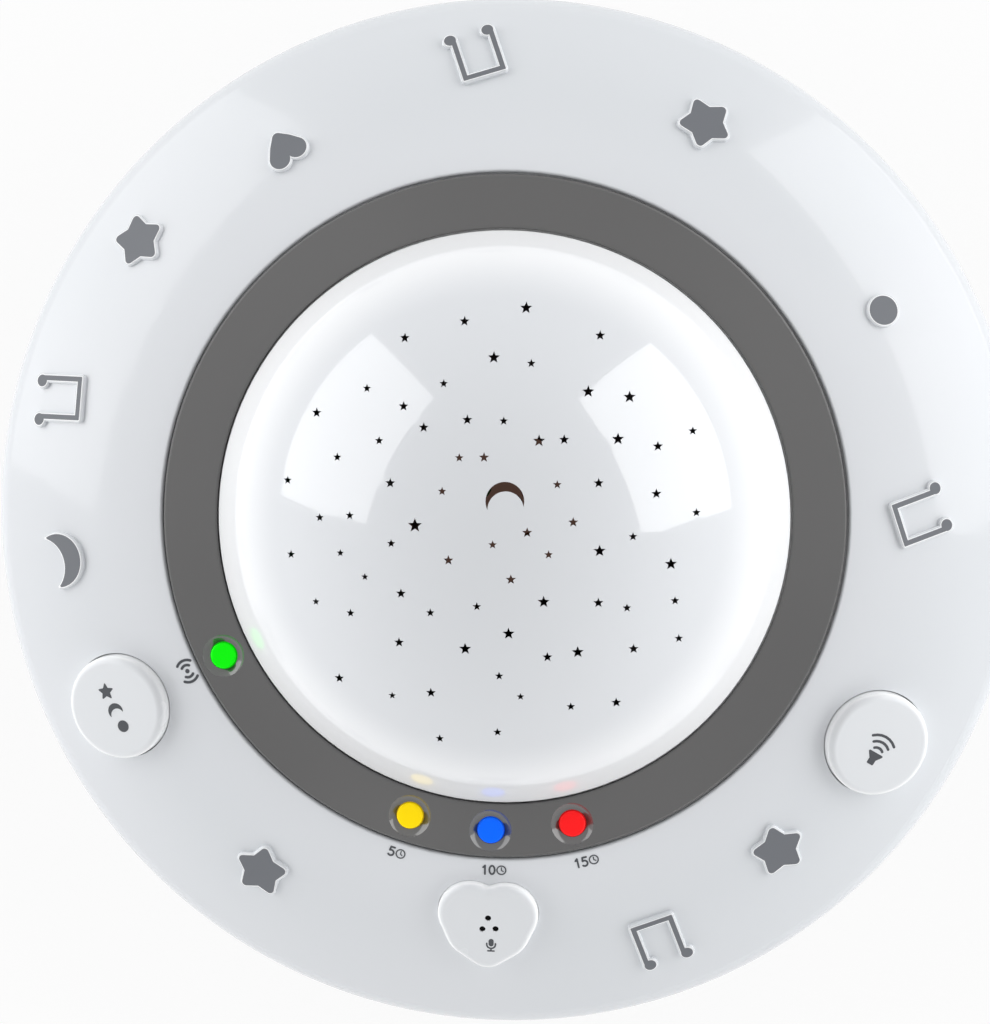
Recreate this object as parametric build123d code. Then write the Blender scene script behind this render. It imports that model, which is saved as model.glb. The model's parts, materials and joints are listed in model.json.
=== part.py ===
from build123d import *

import os
from math import acos, asin, atan2, cos, degrees, radians, sin, sqrt

# Star night light projector: a flying-saucer body with a star-pierced dome, a bezel
# ring that carries four coloured keys, two large buttons and a heart-shaped
# microphone cover on the flange, and eleven raised pictures round it. It runs on
# three AA cells and plays sound through a speaker in the base.
#
# Millimetres and degrees. The origin is the middle of the footprint on the table,
# +Z is up, and the microphone heart faces -Y. A section is drawn as (radius, height).

# ------------------------------------------------------------------ driving sizes

# Clearances
CLOSE_FIT = 0.08
SLIDE_FIT = 0.15
SHADOW_GAP = 0.35
BUTTON_FIT = 0.20

# How far a cut runs past a face, and a boss into one
OVERRUN = 1.0

# Shell of the body
BODY_RADIUS = 100.0
RIM_HEIGHT = 24.0
RIM_ROUND = 5.0
FLANGE_CROWN = 73.0
FLANGE_INNER_HEIGHT = 42.0
FLANGE_INNER_ROUND = 0.6
LOWER_CROWN = 120.0
BASE_RADIUS = 66.0
BASE_HEIGHT = 2.0
BASE_EDGE_RISE = 0.9
WALL = 2.2
FLOOR = 2.4
PARTING_DROP = 2.0
PARTING_BEVEL = 0.3
LIP_HEIGHT = 1.8
LIP_THICKNESS = 1.4

# Bezel ring and the shelf under it
RING_OUTER = 66.0
RING_DEPTH = 2.0
RING_RISE_OUTER = 0.9
RING_RISE_INNER = 2.3
RING_PLATE = 1.9
RING_EDGE_ROUND = 0.4
RING_SKIRT = 1.4
RING_SCREW_AZIMUTHS = (0.0, 60.0, 120.0, 180.0, 225.0, 315.0)
SHELF = 2.2
SHELF_BORE = 52.0

# Dome
DOME_RADIUS = 61.0
DOME_EDGE = 55.2
DOME_WALL = 1.8
DOME_LIP = 1.4
DOME_LIP_HEIGHT = 1.4
DOME_TURN = 2.5

# Coloured keys on the ring
KEY_CIRCLE = 60.8
KEY_DISH_SHIFT = 0.5
KEY_RADIUS = 2.55
KEY_FIT = 0.15
KEY_EDGE_ROUND = 0.35
KEY_BELOW_RING = 0.25
KEY_DISH_TOP = 4.15
KEY_DISH_FLOOR = 3.3
KEY_DISH_DEPTH = 1.1
KEY_LIP = 3.2
KEY_LIP_THICKNESS = 0.7
KEY_STEM = 1.6
KEY_STEM_HOLE = 2.3
KEY_STEM_REACH = 1.3
KEY_TRAVEL = 0.5
KEY_AZIMUTHS = {"vox": 209.0, "timer_5": 255.0, "timer_10": 270.0, "timer_15": 285.0}

# Large buttons on the flange
BUTTON_SHIFT = 0.8
BUTTON_RADIUS = 10.25
BUTTON_RISE = 2.4
BUTTON_CROWN_RISE = 0.3
BUTTON_EDGE_ROUND = 1.4
BUTTON_WALL = 1.6
BUTTON_LIP = 1.1
BUTTON_LIP_THICKNESS = 1.4
BUTTON_STEM = 2.0
BUTTON_STEM_REACH = 1.0
BUTTON_TRAVEL = 0.8
COLLAR_WALL = 1.4
COLLAR_DEPTH = 5.5
BUTTON_AZIMUTHS = {"mode": 209.0, "volume": 331.0}

# Push switches and their boards
SWITCH_WIDTH = 6.0
SWITCH_HEIGHT = 3.5
SWITCH_SINK = 2.3
PLUNGER_RADIUS = 1.7
BOARD = 1.2
BUTTON_BOARD_LENGTH = 36.0
BUTTON_BOARD_WIDTH = 14.0
BUTTON_BOSS_SPREAD = 15.0
KEY_BOARD_WIDTH = 11.0
KEY_BOARD_START = 197.0
KEY_BOARD_END = 299.0
KEY_BOSS_AZIMUTHS = (200.0, 232.0, 295.0)
SMALL_BOSS = 2.5
SMALL_SCREW = 1.0
SMALL_HEAD = 1.9
SMALL_HEAD_HEIGHT = 1.3
SMALL_SCREW_LENGTH = 5.0

# Heart-shaped microphone cover, capsule and boot
HEART_AZIMUTH = 270.0
HEART_SHIFT = -3.5
HEART_LOBE = 6.4
HEART_LOBE_SPREAD = 3.4
HEART_LENGTH = 18.0
HEART_BELLY = 6.5
HEART_BELLY_PLACE = (1.9, -0.7)
HEART_TIP_ROUND = 4.2
HEART_NOTCH_ROUND = 1.6
HEART_SEAT_DEPTH = 1.2
HEART_RISE = 1.7
HEART_EDGE_ROUND = 1.3
SOUND_HOLE = 0.6
SOUND_HOLES = ((0.1, 2.2), (-0.95, -0.2), (1.6, -0.05))
SOUND_PORT = 3.0
CAPSULE_RADIUS = 4.85
CAPSULE_HEIGHT = 6.5
BOOT_WALL = 1.6
BOOT_LENGTH = 6.6
MIC_COLLAR_DEPTH = 6.0

# Raised pictures on the flange
PICTURE_RISE = 0.7
PICTURE_ROOT = 1.0
PICTURE_BEVEL = 0.25
STAR_TIP = 6.35
STAR_VALLEY = 3.9
STAR_TIP_ROUND = 1.25
DOT_RADIUS = 3.3
MOON_OUTER = 5.65
MOON_INNER = 5.45
MOON_SHIFT = 4.35
MOON_TIP_ROUND = 0.45
HEARTLET_LOBE = 2.5
HEARTLET_SPREAD = 1.95
HEARTLET_LENGTH = 7.95
HEARTLET_BELLY = 2.15
HEARTLET_BELLY_PLACE = (1.0, -0.5)
HEARTLET_TIP_ROUND = 1.5
NOTE_STROKE = 1.95
NOTE_SPACING = 7.55
NOTE_STEM = 9.0
NOTE_CORNER = 0.9
NOTE_HEAD_ACROSS = 1.6
NOTE_HEAD_ALONG = 1.5
NOTE_HEAD_SHIFT = 0.58
# Each picture: shape, plan shift outwards from the flange's middle, azimuth, and the
# plan direction of its top.
PICTURES = (
    ("dot", -0.4, 31.1, 31.1),
    ("star", 1.6, 65.6, 182.5),
    ("note", 5.8, 96.3, 292.8),
    ("heart", -0.4, 123.7, 310.0),
    ("star", 5.7, 146.0, 180.5),
    ("note", 6.5, 168.3, 1.3),
    ("moon", 4.5, 188.6, 22.3),
    ("star", 0.9, 238.0, 2.5),
    ("note", 4.7, 292.3, 111.6),
    ("star", 0.25, 311.7, 186.5),
    ("note", -3.25, 2.6, 202.5),
)

# Openings of the dome: plan places in units of the star map, by tip radius in mm.
STAR_MAP_UNIT = 1.0
STAR_WAIST = 0.43
STAR_HOLES = {
    1.42: ((-14.8, 0.1),),
    1.20: (
        (-0.3, 31.6), (5.4, 40.8), (17.6, 25.2), (25.3, 24.1), (8.6, 16.1), (23.3, 16.3),
        (20.0, -4.7), (33.2, -7.5), (9.5, -14.3), (2.8, -20.4), (15.7, -24.1), (-5.5, -23.4),
    ),
    1.00: (
        (-6.2, 38.3), (-17.6, 35.1), (-17.3, 22.4), (-34.5, 20.8), (-5.0, 20.0), (-13.3, 18.5),
        (-1.7, 13.0), (-19.6, 8.0), (19.5, 35.6), (13.3, 16.3), (30.7, 14.8), (19.8, 8.1),
        (30.5, 5.9), (15.1, 0.8), (6.5, -1.1), (3.4, -10.0), (19.7, -14.6), (10.0, -25.0),
        (26.1, -23.7), (22.6, -34.3), (-8.4, -6.4), (-17.6, -12.9), (-18.2, -22.4),
        (-30.4, -30.0), (-12.4, -32.2),
    ),
    0.86: (
        (-9.7, 26.7), (-24.6, 25.6), (-21.9, 15.9), (-6.4, 12.9), (-30.1, 12.6), (-40.1, 7.9),
        (-9.6, 6.6), (-33.5, 1.1), (-27.5, 1.7), (6.8, 30.5), (1.9, 19.8), (37.1, 17.5),
        (12.1, 7.9), (37.9, 2.1), (0.0, -3.4), (26.2, -2.1), (10.5, -5.3), (25.0, -15.7),
        (33.9, -14.6), (34.5, -22.0), (0.8, -28.7), (14.1, -34.9), (0.0, -40.0),
        (-19.4, -3.4), (-39.4, -6.2), (-27.6, -17.0), (-12.0, -16.5), (-3.1, -15.2),
        (-11.2, -41.5),
    ),
    0.76: ((4.7, -32.8), (-29.4, -5.5), (-24.6, -9.9), (-34.5, -15.1), (-20.0, -33.0)),
}
MOON_HOLE_PLACE = (2.3, 4.8)
MOON_HOLE_OUTER = 3.65
MOON_HOLE_INNER = 3.4
MOON_HOLE_SHIFT = 1.55
MOON_HOLE_LEAN = 5.0

# Screw posts between the two shells
POST_CIRCLE = 75.0
POST_AZIMUTHS = (45.0, 135.0, 240.0, 300.0)
POST_RADIUS = 4.0
POST_FOOT = 16.0
POST_SINK = 5.2
SCREW_RADIUS = 1.5
SCREW_HEAD = 2.8
SCREW_HEAD_HEIGHT = 2.0
SCREW_LENGTH = 12.0

# Feet
FOOT_RADIUS = 6.0
FOOT_SEAT = 1.0
FOOT_PLACES = ((44.2, 31.0), (-44.2, 31.0), (-44.2, -31.0), (44.2, -31.0))

# Battery bay, cells, contacts and door
CELL_RADIUS = 7.25
CELL_LENGTH = 49.5
CELL_TIP_RADIUS = 2.75
CELL_TIP = 1.0
CELL_COUNT = 3
CELL_PITCH = 15.2
BAY_MIDDLE = 19.0
BAY_SPARE = 0.7
BAY_WALL = 1.8
SPRING_ROOM = 5.6
CONTACT_ROOM = 1.0
CONTACT = 0.4
CONTACT_WIDTH = 10.0
SPRING_WIDE = 3.6
SPRING_NARROW = 2.4
SPRING_WIRE = 0.6
DOOR = 2.0
DOOR_FIT = 0.3
DOOR_LEDGE = 1.6
DOOR_CORNER = 2.0
DOOR_EAR = 4.6
DOOR_EAR_SHIFT = 1.2
DOOR_RIB = 1.2
DOOR_BOSS_HEIGHT = 9.0
DOOR_SCREW_LENGTH = 8.0

# Speaker and its grille
SPEAKER_PLACE = (0.0, -37.0)
SPEAKER_RADIUS = 20.0
SPEAKER_RIM = 2.4
SPEAKER_RIM_THICKNESS = 1.2
SPEAKER_DEPTH = 8.0
MAGNET_RADIUS = 9.0
MAGNET_HEIGHT = 5.0
CONE_PAPER = 0.5
DUST_CAP_RADIUS = 7.0
SPEAKER_RING_WALL = 1.6
SPEAKER_RING_HEIGHT = 4.0
SPEAKER_BOSS_ANGLES = (90.0, 210.0, 330.0)
BASKET_WINDOWS = 4
BASKET_SPOKE = 3.0
GRILLE_RADIUS = 15.0
GRILLE_SLOT = 1.8
GRILLE_PITCH = 4.0
GRILLE_SLOTS = 7

# Power switch in the base
POWER_PLACE = (50.0, -4.0)
POWER_POCKET = (12.0, 20.0)
POWER_POCKET_DEPTH = 1.2
POWER_KNOB = (4.0, 3.6)
POWER_TRAVEL = 3.0
POWER_BODY = (8.0, 14.0, 5.0)
POWER_KNOB_ROOT = 1.6
POWER_KNOB_BELOW = 0.4

# Main board
MAIN_BOARD_PLACE = (-53.0, 8.0)
MAIN_BOARD_SIZE = (26.0, 50.0)
MAIN_BOARD_HEIGHT = 12.0
MAIN_BOARD_INSET = 3.0
CHIP_SIZE = (9.0, 9.0, 1.4)
CHIP_SHIFT = 6.0
CAPACITOR_RADIUS = 3.15
CAPACITOR_HEIGHT = 8.0
CAPACITOR_SHIFT = -10.0

# Light engine
STAND_BOSS = 3.5
STAND_BOSS_HEIGHT = 5.0
STAND_BOSS_SPREAD = 9.5
STAND_FOOT = (27.0, 10.0)
STAND_PLATE = 2.0
STAND_POST = 5.0
STAND_POST_HEIGHT = 9.0
LIGHT_BOARD_RADIUS = 16.0
LIGHT_TRAY_RIM = 1.4
LED_RADIUS = 2.5
LED_FLANGE = 2.9
LED_FLANGE_HEIGHT = 1.0
LED_HEIGHT = 6.0
LED_CIRCLE = 8.0
LED_COUNT = 4

# ------------------------------------------------------------------- worked out

SEAT_RADIUS = RING_OUTER + SHADOW_GAP
SEAT_FLOOR = FLANGE_INNER_HEIGHT - RING_DEPTH
SHELF_UNDER = SEAT_FLOOR - SHELF
RING_INNER = DOME_EDGE + SHADOW_GAP
RING_TOP_OUTER = FLANGE_INNER_HEIGHT + RING_RISE_OUTER
RING_TOP_INNER = FLANGE_INNER_HEIGHT + RING_RISE_INNER
RING_UNDER = SEAT_FLOOR + RING_PLATE
RING_MIDDLE = (RING_INNER + RING_OUTER) / 2
DOME_LIP_RADIUS = DOME_EDGE + DOME_LIP
DOME_MIDDLE = RING_TOP_INNER - sqrt(DOME_RADIUS**2 - DOME_EDGE**2)
RIM_MIDDLE = Vector(BODY_RADIUS - RIM_ROUND, RIM_HEIGHT)
SEAT_EDGE = Vector(SEAT_RADIUS, FLANGE_INNER_HEIGHT)
FLANGE_MIDDLE = (SEAT_RADIUS + BODY_RADIUS) / 2
PARTING = RIM_HEIGHT - PARTING_DROP
FLOOR_TOP = BASE_HEIGHT + FLOOR
BUTTON_CIRCLE = FLANGE_MIDDLE + BUTTON_SHIFT
HEART_CIRCLE = FLANGE_MIDDLE + HEART_SHIFT
BUTTON_HOLE = BUTTON_RADIUS + BUTTON_FIT
BUTTON_LIP_TOP = -COLLAR_DEPTH - CLOSE_FIT
BUTTON_LIP_UNDER = BUTTON_LIP_TOP - BUTTON_LIP_THICKNESS
BUTTON_STEM_END = BUTTON_LIP_UNDER - BUTTON_TRAVEL - BUTTON_STEM_REACH
KEY_LIP_TOP = RING_UNDER - CLOSE_FIT
KEY_STEM_END = SHELF_UNDER - KEY_STEM_REACH
KEY_BOARD_TOP = KEY_STEM_END - KEY_TRAVEL - SWITCH_HEIGHT - CLOSE_FIT
BUTTON_BOARD_TOP = BUTTON_STEM_END - BUTTON_TRAVEL - SWITCH_HEIGHT - CLOSE_FIT
BAY_LENGTH = CELL_LENGTH + CELL_TIP + SPRING_ROOM + CONTACT_ROOM
BAY_WIDTH = (CELL_COUNT - 1) * CELL_PITCH + 2 * (CELL_RADIUS + BAY_SPARE)
DOOR_TOP = BASE_HEIGHT + DOOR
CELL_AXIS = FLOOR_TOP + CELL_RADIUS + CLOSE_FIT
BAY_ROOF = CELL_AXIS + CELL_RADIUS + BAY_SPARE
BAY_TOP = BAY_ROOF + BAY_WALL
EAR_X = BAY_LENGTH / 2 + DOOR_LEDGE + DOOR_EAR_SHIFT
STAND_SEAT = BAY_TOP + STAND_BOSS_HEIGHT
STAND_TOP = STAND_SEAT + STAND_PLATE + STAND_POST_HEIGHT
LIGHT_BOARD_TOP = STAND_TOP + STAND_PLATE + BOARD


# ---------------------------------------------------------------------- helpers


def spot(radius: float, angle: float) -> Vector:
    """The plan point at a distance and a direction from the middle."""
    return Vector(radius * cos(radians(angle)), radius * sin(radians(angle)))


def crossing(first: Vector, first_radius: float, second: Vector, second_radius: float) -> Vector:
    """Where two circles cross, on the left of the line from the first to the second."""
    span = second - first
    along = (first_radius**2 - second_radius**2 + span.length**2) / (2 * span.length)
    aside = sqrt(first_radius**2 - along**2)
    return first + span.normalized() * along + Vector(-span.Y, span.X).normalized() * aside


def arc_about(centre: Vector, start: Vector, end: Vector) -> ThreePointArc:
    """The short arc about a centre from one point to another."""
    middle = (start + end) / 2 - centre
    return ThreePointArc(start, centre + middle.normalized() * (start - centre).length, end)


def flat(*lines) -> Sketch:
    """The face inside a closed chain of lines and arcs."""
    return make_face([edge for line in lines for edge in line.edges()])


def turned(outline: Sketch) -> Part:
    """The solid that a section sweeps once round the vertical axis."""
    return revolve(Plane.XZ * outline, Axis.Z)


def upright(outline: Sketch, low: float, high: float) -> Part:
    """A plan outline stretched between two heights."""
    return extrude(Pos(0, 0, low) * outline, high - low)


def disc(radius: float, low: float, high: float, place=(0, 0)) -> Part:
    """A vertical cylinder between two heights."""
    return upright(Pos(*place) * Circle(radius), low, high)


def tapered_slot(start: Vector, start_radius: float, end: Vector, end_radius: float) -> Sketch:
    """Two discs and the band between their outer tangents."""
    span = end - start
    heading = degrees(atan2(span.Y, span.X))
    spread = degrees(acos((start_radius - end_radius) / span.length))
    corners = [
        start + spot(start_radius, heading + spread),
        end + spot(end_radius, heading + spread),
        end + spot(end_radius, heading - spread),
        start + spot(start_radius, heading - spread),
    ]
    band = flat(Polyline(*corners, close=True))
    return band + Pos(start) * Circle(start_radius) + Pos(end) * Circle(end_radius)


def heart(
    lobe: float,
    spread: float,
    length: float,
    belly: float,
    belly_place: tuple,
    tip: float,
    margin: float = 0.0,
) -> Sketch:
    """A heart with full sides about its own middle, with its notch towards +Y."""
    shoulder = Vector(spread, length / 2 - lobe)
    side = Vector(*belly_place)
    foot = Vector(0, tip - length / 2)
    half = tapered_slot(shoulder, lobe + margin, side, belly + margin)
    half += tapered_slot(side, belly + margin, foot, tip + margin)
    return half + mirror(half, Plane.YZ)


def star(tip: float, valley: float, place=(0, 0)) -> Sketch:
    """A five-pointed star with one tip towards +Y."""
    radii = (tip, valley)
    points = [Vector(*place) + spot(radii[k % 2], 90 + 36 * k) for k in range(10)]
    return flat(Polyline(*points, close=True))


def crescent(outer: float, inner: float, shift: float) -> Sketch:
    """A crescent with its back towards +Y, about the middle of its outer circle."""
    return Circle(outer) - Pos(0, -shift) * Circle(inner)


def note() -> Sketch:
    """Two beamed quavers, with the beam towards +Y, about the glyph's middle."""
    glyph = Pos(NOTE_SPACING / 2, NOTE_STEM) * Rectangle(NOTE_SPACING + NOTE_STROKE, NOTE_STROKE)
    for stem in (0, NOTE_SPACING):
        glyph += Pos(stem, NOTE_STEM / 2) * Rectangle(NOTE_STROKE, NOTE_STEM)
        glyph += Pos(stem + NOTE_HEAD_SHIFT, 0) * Ellipse(NOTE_HEAD_ACROSS, NOTE_HEAD_ALONG)
    glyph = fillet(glyph.vertices().group_by(Axis.Y)[-1], NOTE_CORNER)
    return Pos(-(NOTE_SPACING + NOTE_HEAD_SHIFT) / 2, -NOTE_STEM / 2) * glyph


FLANGE_CENTRE = crossing(RIM_MIDDLE, FLANGE_CROWN - RIM_ROUND, SEAT_EDGE, FLANGE_CROWN)
BASE_EDGE = Vector(BASE_RADIUS, BASE_HEIGHT + BASE_EDGE_RISE)
LOWER_CENTRE = crossing(BASE_EDGE, LOWER_CROWN, RIM_MIDDLE, LOWER_CROWN - RIM_ROUND)


def arc_height(centre: Vector, crown: float, radius: float, side: int) -> float:
    """Height of a crown arc at a plan radius, above (1) or below (-1) its centre."""
    return centre.Y + side * sqrt(crown**2 - (radius - centre.X) ** 2)


def flange_height(radius: float, depth: float = 0.0) -> float:
    """Height of the flange's skin, or of a layer at a depth below it."""
    return arc_height(FLANGE_CENTRE, FLANGE_CROWN - depth, radius, 1)


def rim_tangent(centre: Vector, depth: float) -> Vector:
    """Where the layer at a depth below a crown arc runs into the round of the rim."""
    return RIM_MIDDLE + (RIM_MIDDLE - centre).normalized() * (RIM_ROUND - depth)


def rim_at_parting(depth: float) -> Vector:
    """Where the layer at a depth below the round of the rim meets the parting plane."""
    reach = sqrt((RIM_ROUND - depth) ** 2 - PARTING_DROP**2)
    return Vector(RIM_MIDDLE.X + reach, PARTING)


def flange_plane(radius: float, azimuth: float, heading: float) -> Plane:
    """The plane that touches the flange, with its y axis along a plan heading."""
    foot = spot(radius, azimuth)
    lean = asin((radius - FLANGE_CENTRE.X) / FLANGE_CROWN)
    normal = spot(sin(lean), azimuth) + Vector(0, 0, cos(lean))
    up = spot(1, heading)
    up = up - Vector(0, 0, up.dot(normal) / normal.Z)
    return Plane(foot + Vector(0, 0, flange_height(radius)), x_dir=up.cross(normal), z_dir=normal)


def ring_top(radius: float) -> float:
    """Height of the bezel ring's sloping face."""
    share = (radius - RING_INNER) / (RING_OUTER - RING_INNER)
    return RING_TOP_INNER + share * (RING_TOP_OUTER - RING_TOP_INNER)


def button_plane(name: str) -> Plane:
    azimuth = BUTTON_AZIMUTHS[name]
    return flange_plane(BUTTON_CIRCLE, azimuth, azimuth + 180)


def key_place(name: str) -> Vector:
    return spot(KEY_CIRCLE, KEY_AZIMUTHS[name])


def mic_outline(margin: float) -> Sketch:
    """The microphone cover's outline, with its notch rounded, or one a margin outside it."""
    outline = heart(
        HEART_LOBE,
        HEART_LOBE_SPREAD,
        HEART_LENGTH,
        HEART_BELLY,
        HEART_BELLY_PLACE,
        HEART_TIP_ROUND,
        margin,
    )
    inline = outline.vertices().filter_by(lambda v: abs(v.X) < CLOSE_FIT)
    return fillet(inline.sort_by(Axis.Y)[-1], HEART_NOTCH_ROUND - margin)


HEART_PLANE = flange_plane(HEART_CIRCLE, HEART_AZIMUTH, HEART_AZIMUTH + 180)
RING_SCREW_CIRCLE = (DOME_LIP_RADIUS + SLIDE_FIT + RING_OUTER) / 2
BOARD_SCREW_SPOTS = (-BUTTON_BOSS_SPREAD, BUTTON_BOSS_SPREAD)


def picture(shape: str) -> Sketch:
    """The outline of one raised picture."""
    if shape == "dot":
        return Circle(DOT_RADIUS)
    if shape == "note":
        return note()
    if shape == "heart":
        return heart(
            HEARTLET_LOBE,
            HEARTLET_SPREAD,
            HEARTLET_LENGTH,
            HEARTLET_BELLY,
            HEARTLET_BELLY_PLACE,
            HEARTLET_TIP_ROUND,
        )
    if shape == "moon":
        moon = crescent(MOON_OUTER, MOON_INNER, MOON_SHIFT)
        return fillet(moon.vertices(), MOON_TIP_ROUND)
    points = star(STAR_TIP, STAR_VALLEY)
    return fillet(points.vertices().sort_by(lambda v: Vector(v).length)[5:], STAR_TIP_ROUND)


def picture_boss(shape: str) -> Part:
    """A raised picture with a bevelled edge, in the frame of the plane it stands on."""
    boss = upright(picture(shape), -PICTURE_ROOT, PICTURE_RISE)
    return chamfer(boss.faces().sort_by(Axis.Z)[-1].edges(), PICTURE_BEVEL)


# ----------------------------------------------------------------------- shells


def body_core(depth: float) -> Part:
    """Everything inside a layer of the upper skin, down to the table."""
    shelf_middle = SEAT_FLOOR - SHELF / 2
    seat = Vector(SEAT_RADIUS, flange_height(SEAT_RADIUS, depth))
    tangent = rim_tangent(FLANGE_CENTRE, depth)
    seam = rim_at_parting(depth)
    return turned(
        flat(
            arc_about(FLANGE_CENTRE, seat, tangent),
            arc_about(RIM_MIDDLE, tangent, seam),
            Polyline(seam, (seam.X, 0), (0, 0), (0, shelf_middle), (SEAT_RADIUS, shelf_middle), seat),
        )
    )


def upper_shell() -> Part:
    """Flange, rim and the stepped shelf that takes the ring and the dome."""
    riser = SEAT_RADIUS + WALL
    riser_top = Vector(riser, flange_height(riser, WALL))
    outer_seam = rim_at_parting(0)
    inner_seam = rim_at_parting(WALL)
    outer_tangent = rim_tangent(FLANGE_CENTRE, 0)
    inner_tangent = rim_tangent(FLANGE_CENTRE, WALL)
    outline = flat(
        arc_about(FLANGE_CENTRE, SEAT_EDGE, outer_tangent),
        arc_about(RIM_MIDDLE, outer_tangent, outer_seam),
        Line(outer_seam, inner_seam),
        arc_about(RIM_MIDDLE, inner_seam, inner_tangent),
        arc_about(FLANGE_CENTRE, inner_tangent, riser_top),
        Polyline(
            riser_top,
            (riser, SHELF_UNDER),
            (SHELF_BORE, SHELF_UNDER),
            (SHELF_BORE, SEAT_FLOOR),
            (SEAT_RADIUS, SEAT_FLOOR),
            SEAT_EDGE,
        ),
    )
    corners = outline.vertices()
    outline = fillet(corners.sort_by_distance(SEAT_EDGE)[0], FLANGE_INNER_ROUND)
    seam_corner = outline.vertices().sort_by_distance(outer_seam)[0]
    return turned(chamfer(seam_corner, PARTING_BEVEL))


def upper_bosses() -> Part:
    """Posts, collars and bosses under the upper skin, before they meet it."""
    bosses = [disc(POST_RADIUS, POST_FOOT, RING_TOP_OUTER, spot(POST_CIRCLE, a)) for a in POST_AZIMUTHS]
    for azimuth in KEY_BOSS_AZIMUTHS:
        bosses.append(disc(SMALL_BOSS, KEY_BOARD_TOP, SEAT_FLOOR, spot(KEY_CIRCLE, azimuth)))
    for name in BUTTON_AZIMUTHS:
        plane = button_plane(name)
        collar = Circle(BUTTON_HOLE + COLLAR_WALL) - Circle(BUTTON_HOLE)
        bosses.append(plane * upright(collar, -COLLAR_DEPTH, 0))
        for x in BOARD_SCREW_SPOTS:
            bosses.append(plane * disc(SMALL_BOSS, BUTTON_BOARD_TOP, 0, (x, 0)))
    bosses.append(HEART_PLANE * disc(CAPSULE_RADIUS + 2 * BOOT_WALL, -MIC_COLLAR_DEPTH, 0))
    return Part() + bosses


def screw_hole(place: Vector, low: float, depth: float, radius: float) -> Part:
    return disc(radius + CLOSE_FIT, low, low + depth, place)


def upper_housing() -> Part:
    body = upper_shell() + (upper_bosses() & body_core(WALL / 2))
    for shape, shift, azimuth, heading in PICTURES:
        plane = flange_plane(FLANGE_MIDDLE + shift, azimuth, heading)
        body += plane * picture_boss(shape)
    cuts = []
    for azimuth in POST_AZIMUTHS:
        cuts.append(screw_hole(spot(POST_CIRCLE, azimuth), POST_FOOT, SCREW_LENGTH, SCREW_RADIUS))
    for name in KEY_AZIMUTHS:
        cuts.append(disc(KEY_STEM_HOLE, SHELF_UNDER - OVERRUN, SEAT_FLOOR + OVERRUN, key_place(name)))
    for azimuth in KEY_BOSS_AZIMUTHS:
        place = spot(KEY_CIRCLE, azimuth)
        cuts.append(screw_hole(place, KEY_BOARD_TOP, SMALL_SCREW_LENGTH, SMALL_SCREW))
    for azimuth in RING_SCREW_AZIMUTHS:
        cuts.append(screw_hole(spot(RING_SCREW_CIRCLE, azimuth), SHELF_UNDER, SHELF, SMALL_SCREW))
    for name in BUTTON_AZIMUTHS:
        plane = button_plane(name)
        cuts.append(plane * disc(BUTTON_HOLE, -COLLAR_DEPTH, BUTTON_RISE))
        for x in BOARD_SCREW_SPOTS:
            hole = screw_hole((x, 0), BUTTON_BOARD_TOP, SMALL_SCREW_LENGTH, SMALL_SCREW)
            cuts.append(plane * hole)
    cuts.append(HEART_PLANE * upright(mic_outline(CLOSE_FIT), -HEART_SEAT_DEPTH, HEART_RISE))
    cuts.append(HEART_PLANE * disc(SOUND_PORT, -HEART_SEAT_DEPTH - WALL, 0))
    boot_top = -HEART_SEAT_DEPTH - WALL / 2
    cuts.append(HEART_PLANE * disc(CAPSULE_RADIUS + BOOT_WALL, -MIC_COLLAR_DEPTH, boot_top))
    return body - cuts


def lower_shell() -> Part:
    """Convex flank, flat floor and the lip that centres the two shells."""
    outer_seam = rim_at_parting(0)
    inner_seam = rim_at_parting(WALL)
    outer_tangent = rim_tangent(LOWER_CENTRE, 0)
    inner_tangent = rim_tangent(LOWER_CENTRE, WALL)
    inner_drop = FLOOR_TOP - LOWER_CENTRE.Y
    inner_foot = Vector(LOWER_CENTRE.X + sqrt((LOWER_CROWN - WALL) ** 2 - inner_drop**2), FLOOR_TOP)
    outline = flat(
        arc_about(LOWER_CENTRE, BASE_EDGE, outer_tangent),
        arc_about(RIM_MIDDLE, outer_tangent, outer_seam),
        Line(outer_seam, inner_seam),
        arc_about(RIM_MIDDLE, inner_seam, inner_tangent),
        arc_about(LOWER_CENTRE, inner_tangent, inner_foot),
        Polyline(
            inner_foot,
            (0, FLOOR_TOP),
            (0, BASE_HEIGHT),
            (BASE_RADIUS - 2 * BASE_EDGE_RISE, BASE_HEIGHT),
            BASE_EDGE,
        ),
    )
    outline = chamfer(outline.vertices().sort_by_distance(outer_seam)[0], PARTING_BEVEL)
    lip_outer = inner_seam.X - SLIDE_FIT
    lip_foot = PARTING - LIP_HEIGHT
    lip = Pos(lip_outer - LIP_THICKNESS / 2, PARTING) * Rectangle(LIP_THICKNESS, 2 * LIP_HEIGHT)
    foot = Pos(lip_outer + WALL / 4, lip_foot + LIP_HEIGHT / 2) * Rectangle(WALL, LIP_HEIGHT)
    return turned(outline + lip + foot)


def rounded(width: float, depth: float, corner: float) -> Sketch:
    return RectangleRounded(width, depth, corner)


def door_outline(margin: float) -> Sketch:
    """The battery door with its two screw ears, about the bay's middle."""
    width = BAY_LENGTH + 2 * (DOOR_LEDGE + margin)
    depth = BAY_WIDTH + 2 * (DOOR_LEDGE + margin)
    outline = rounded(width, depth, DOOR_CORNER)
    for side in (-1, 1):
        outline += Pos(side * EAR_X, 0) * Circle(DOOR_EAR + margin)
    return outline


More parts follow.
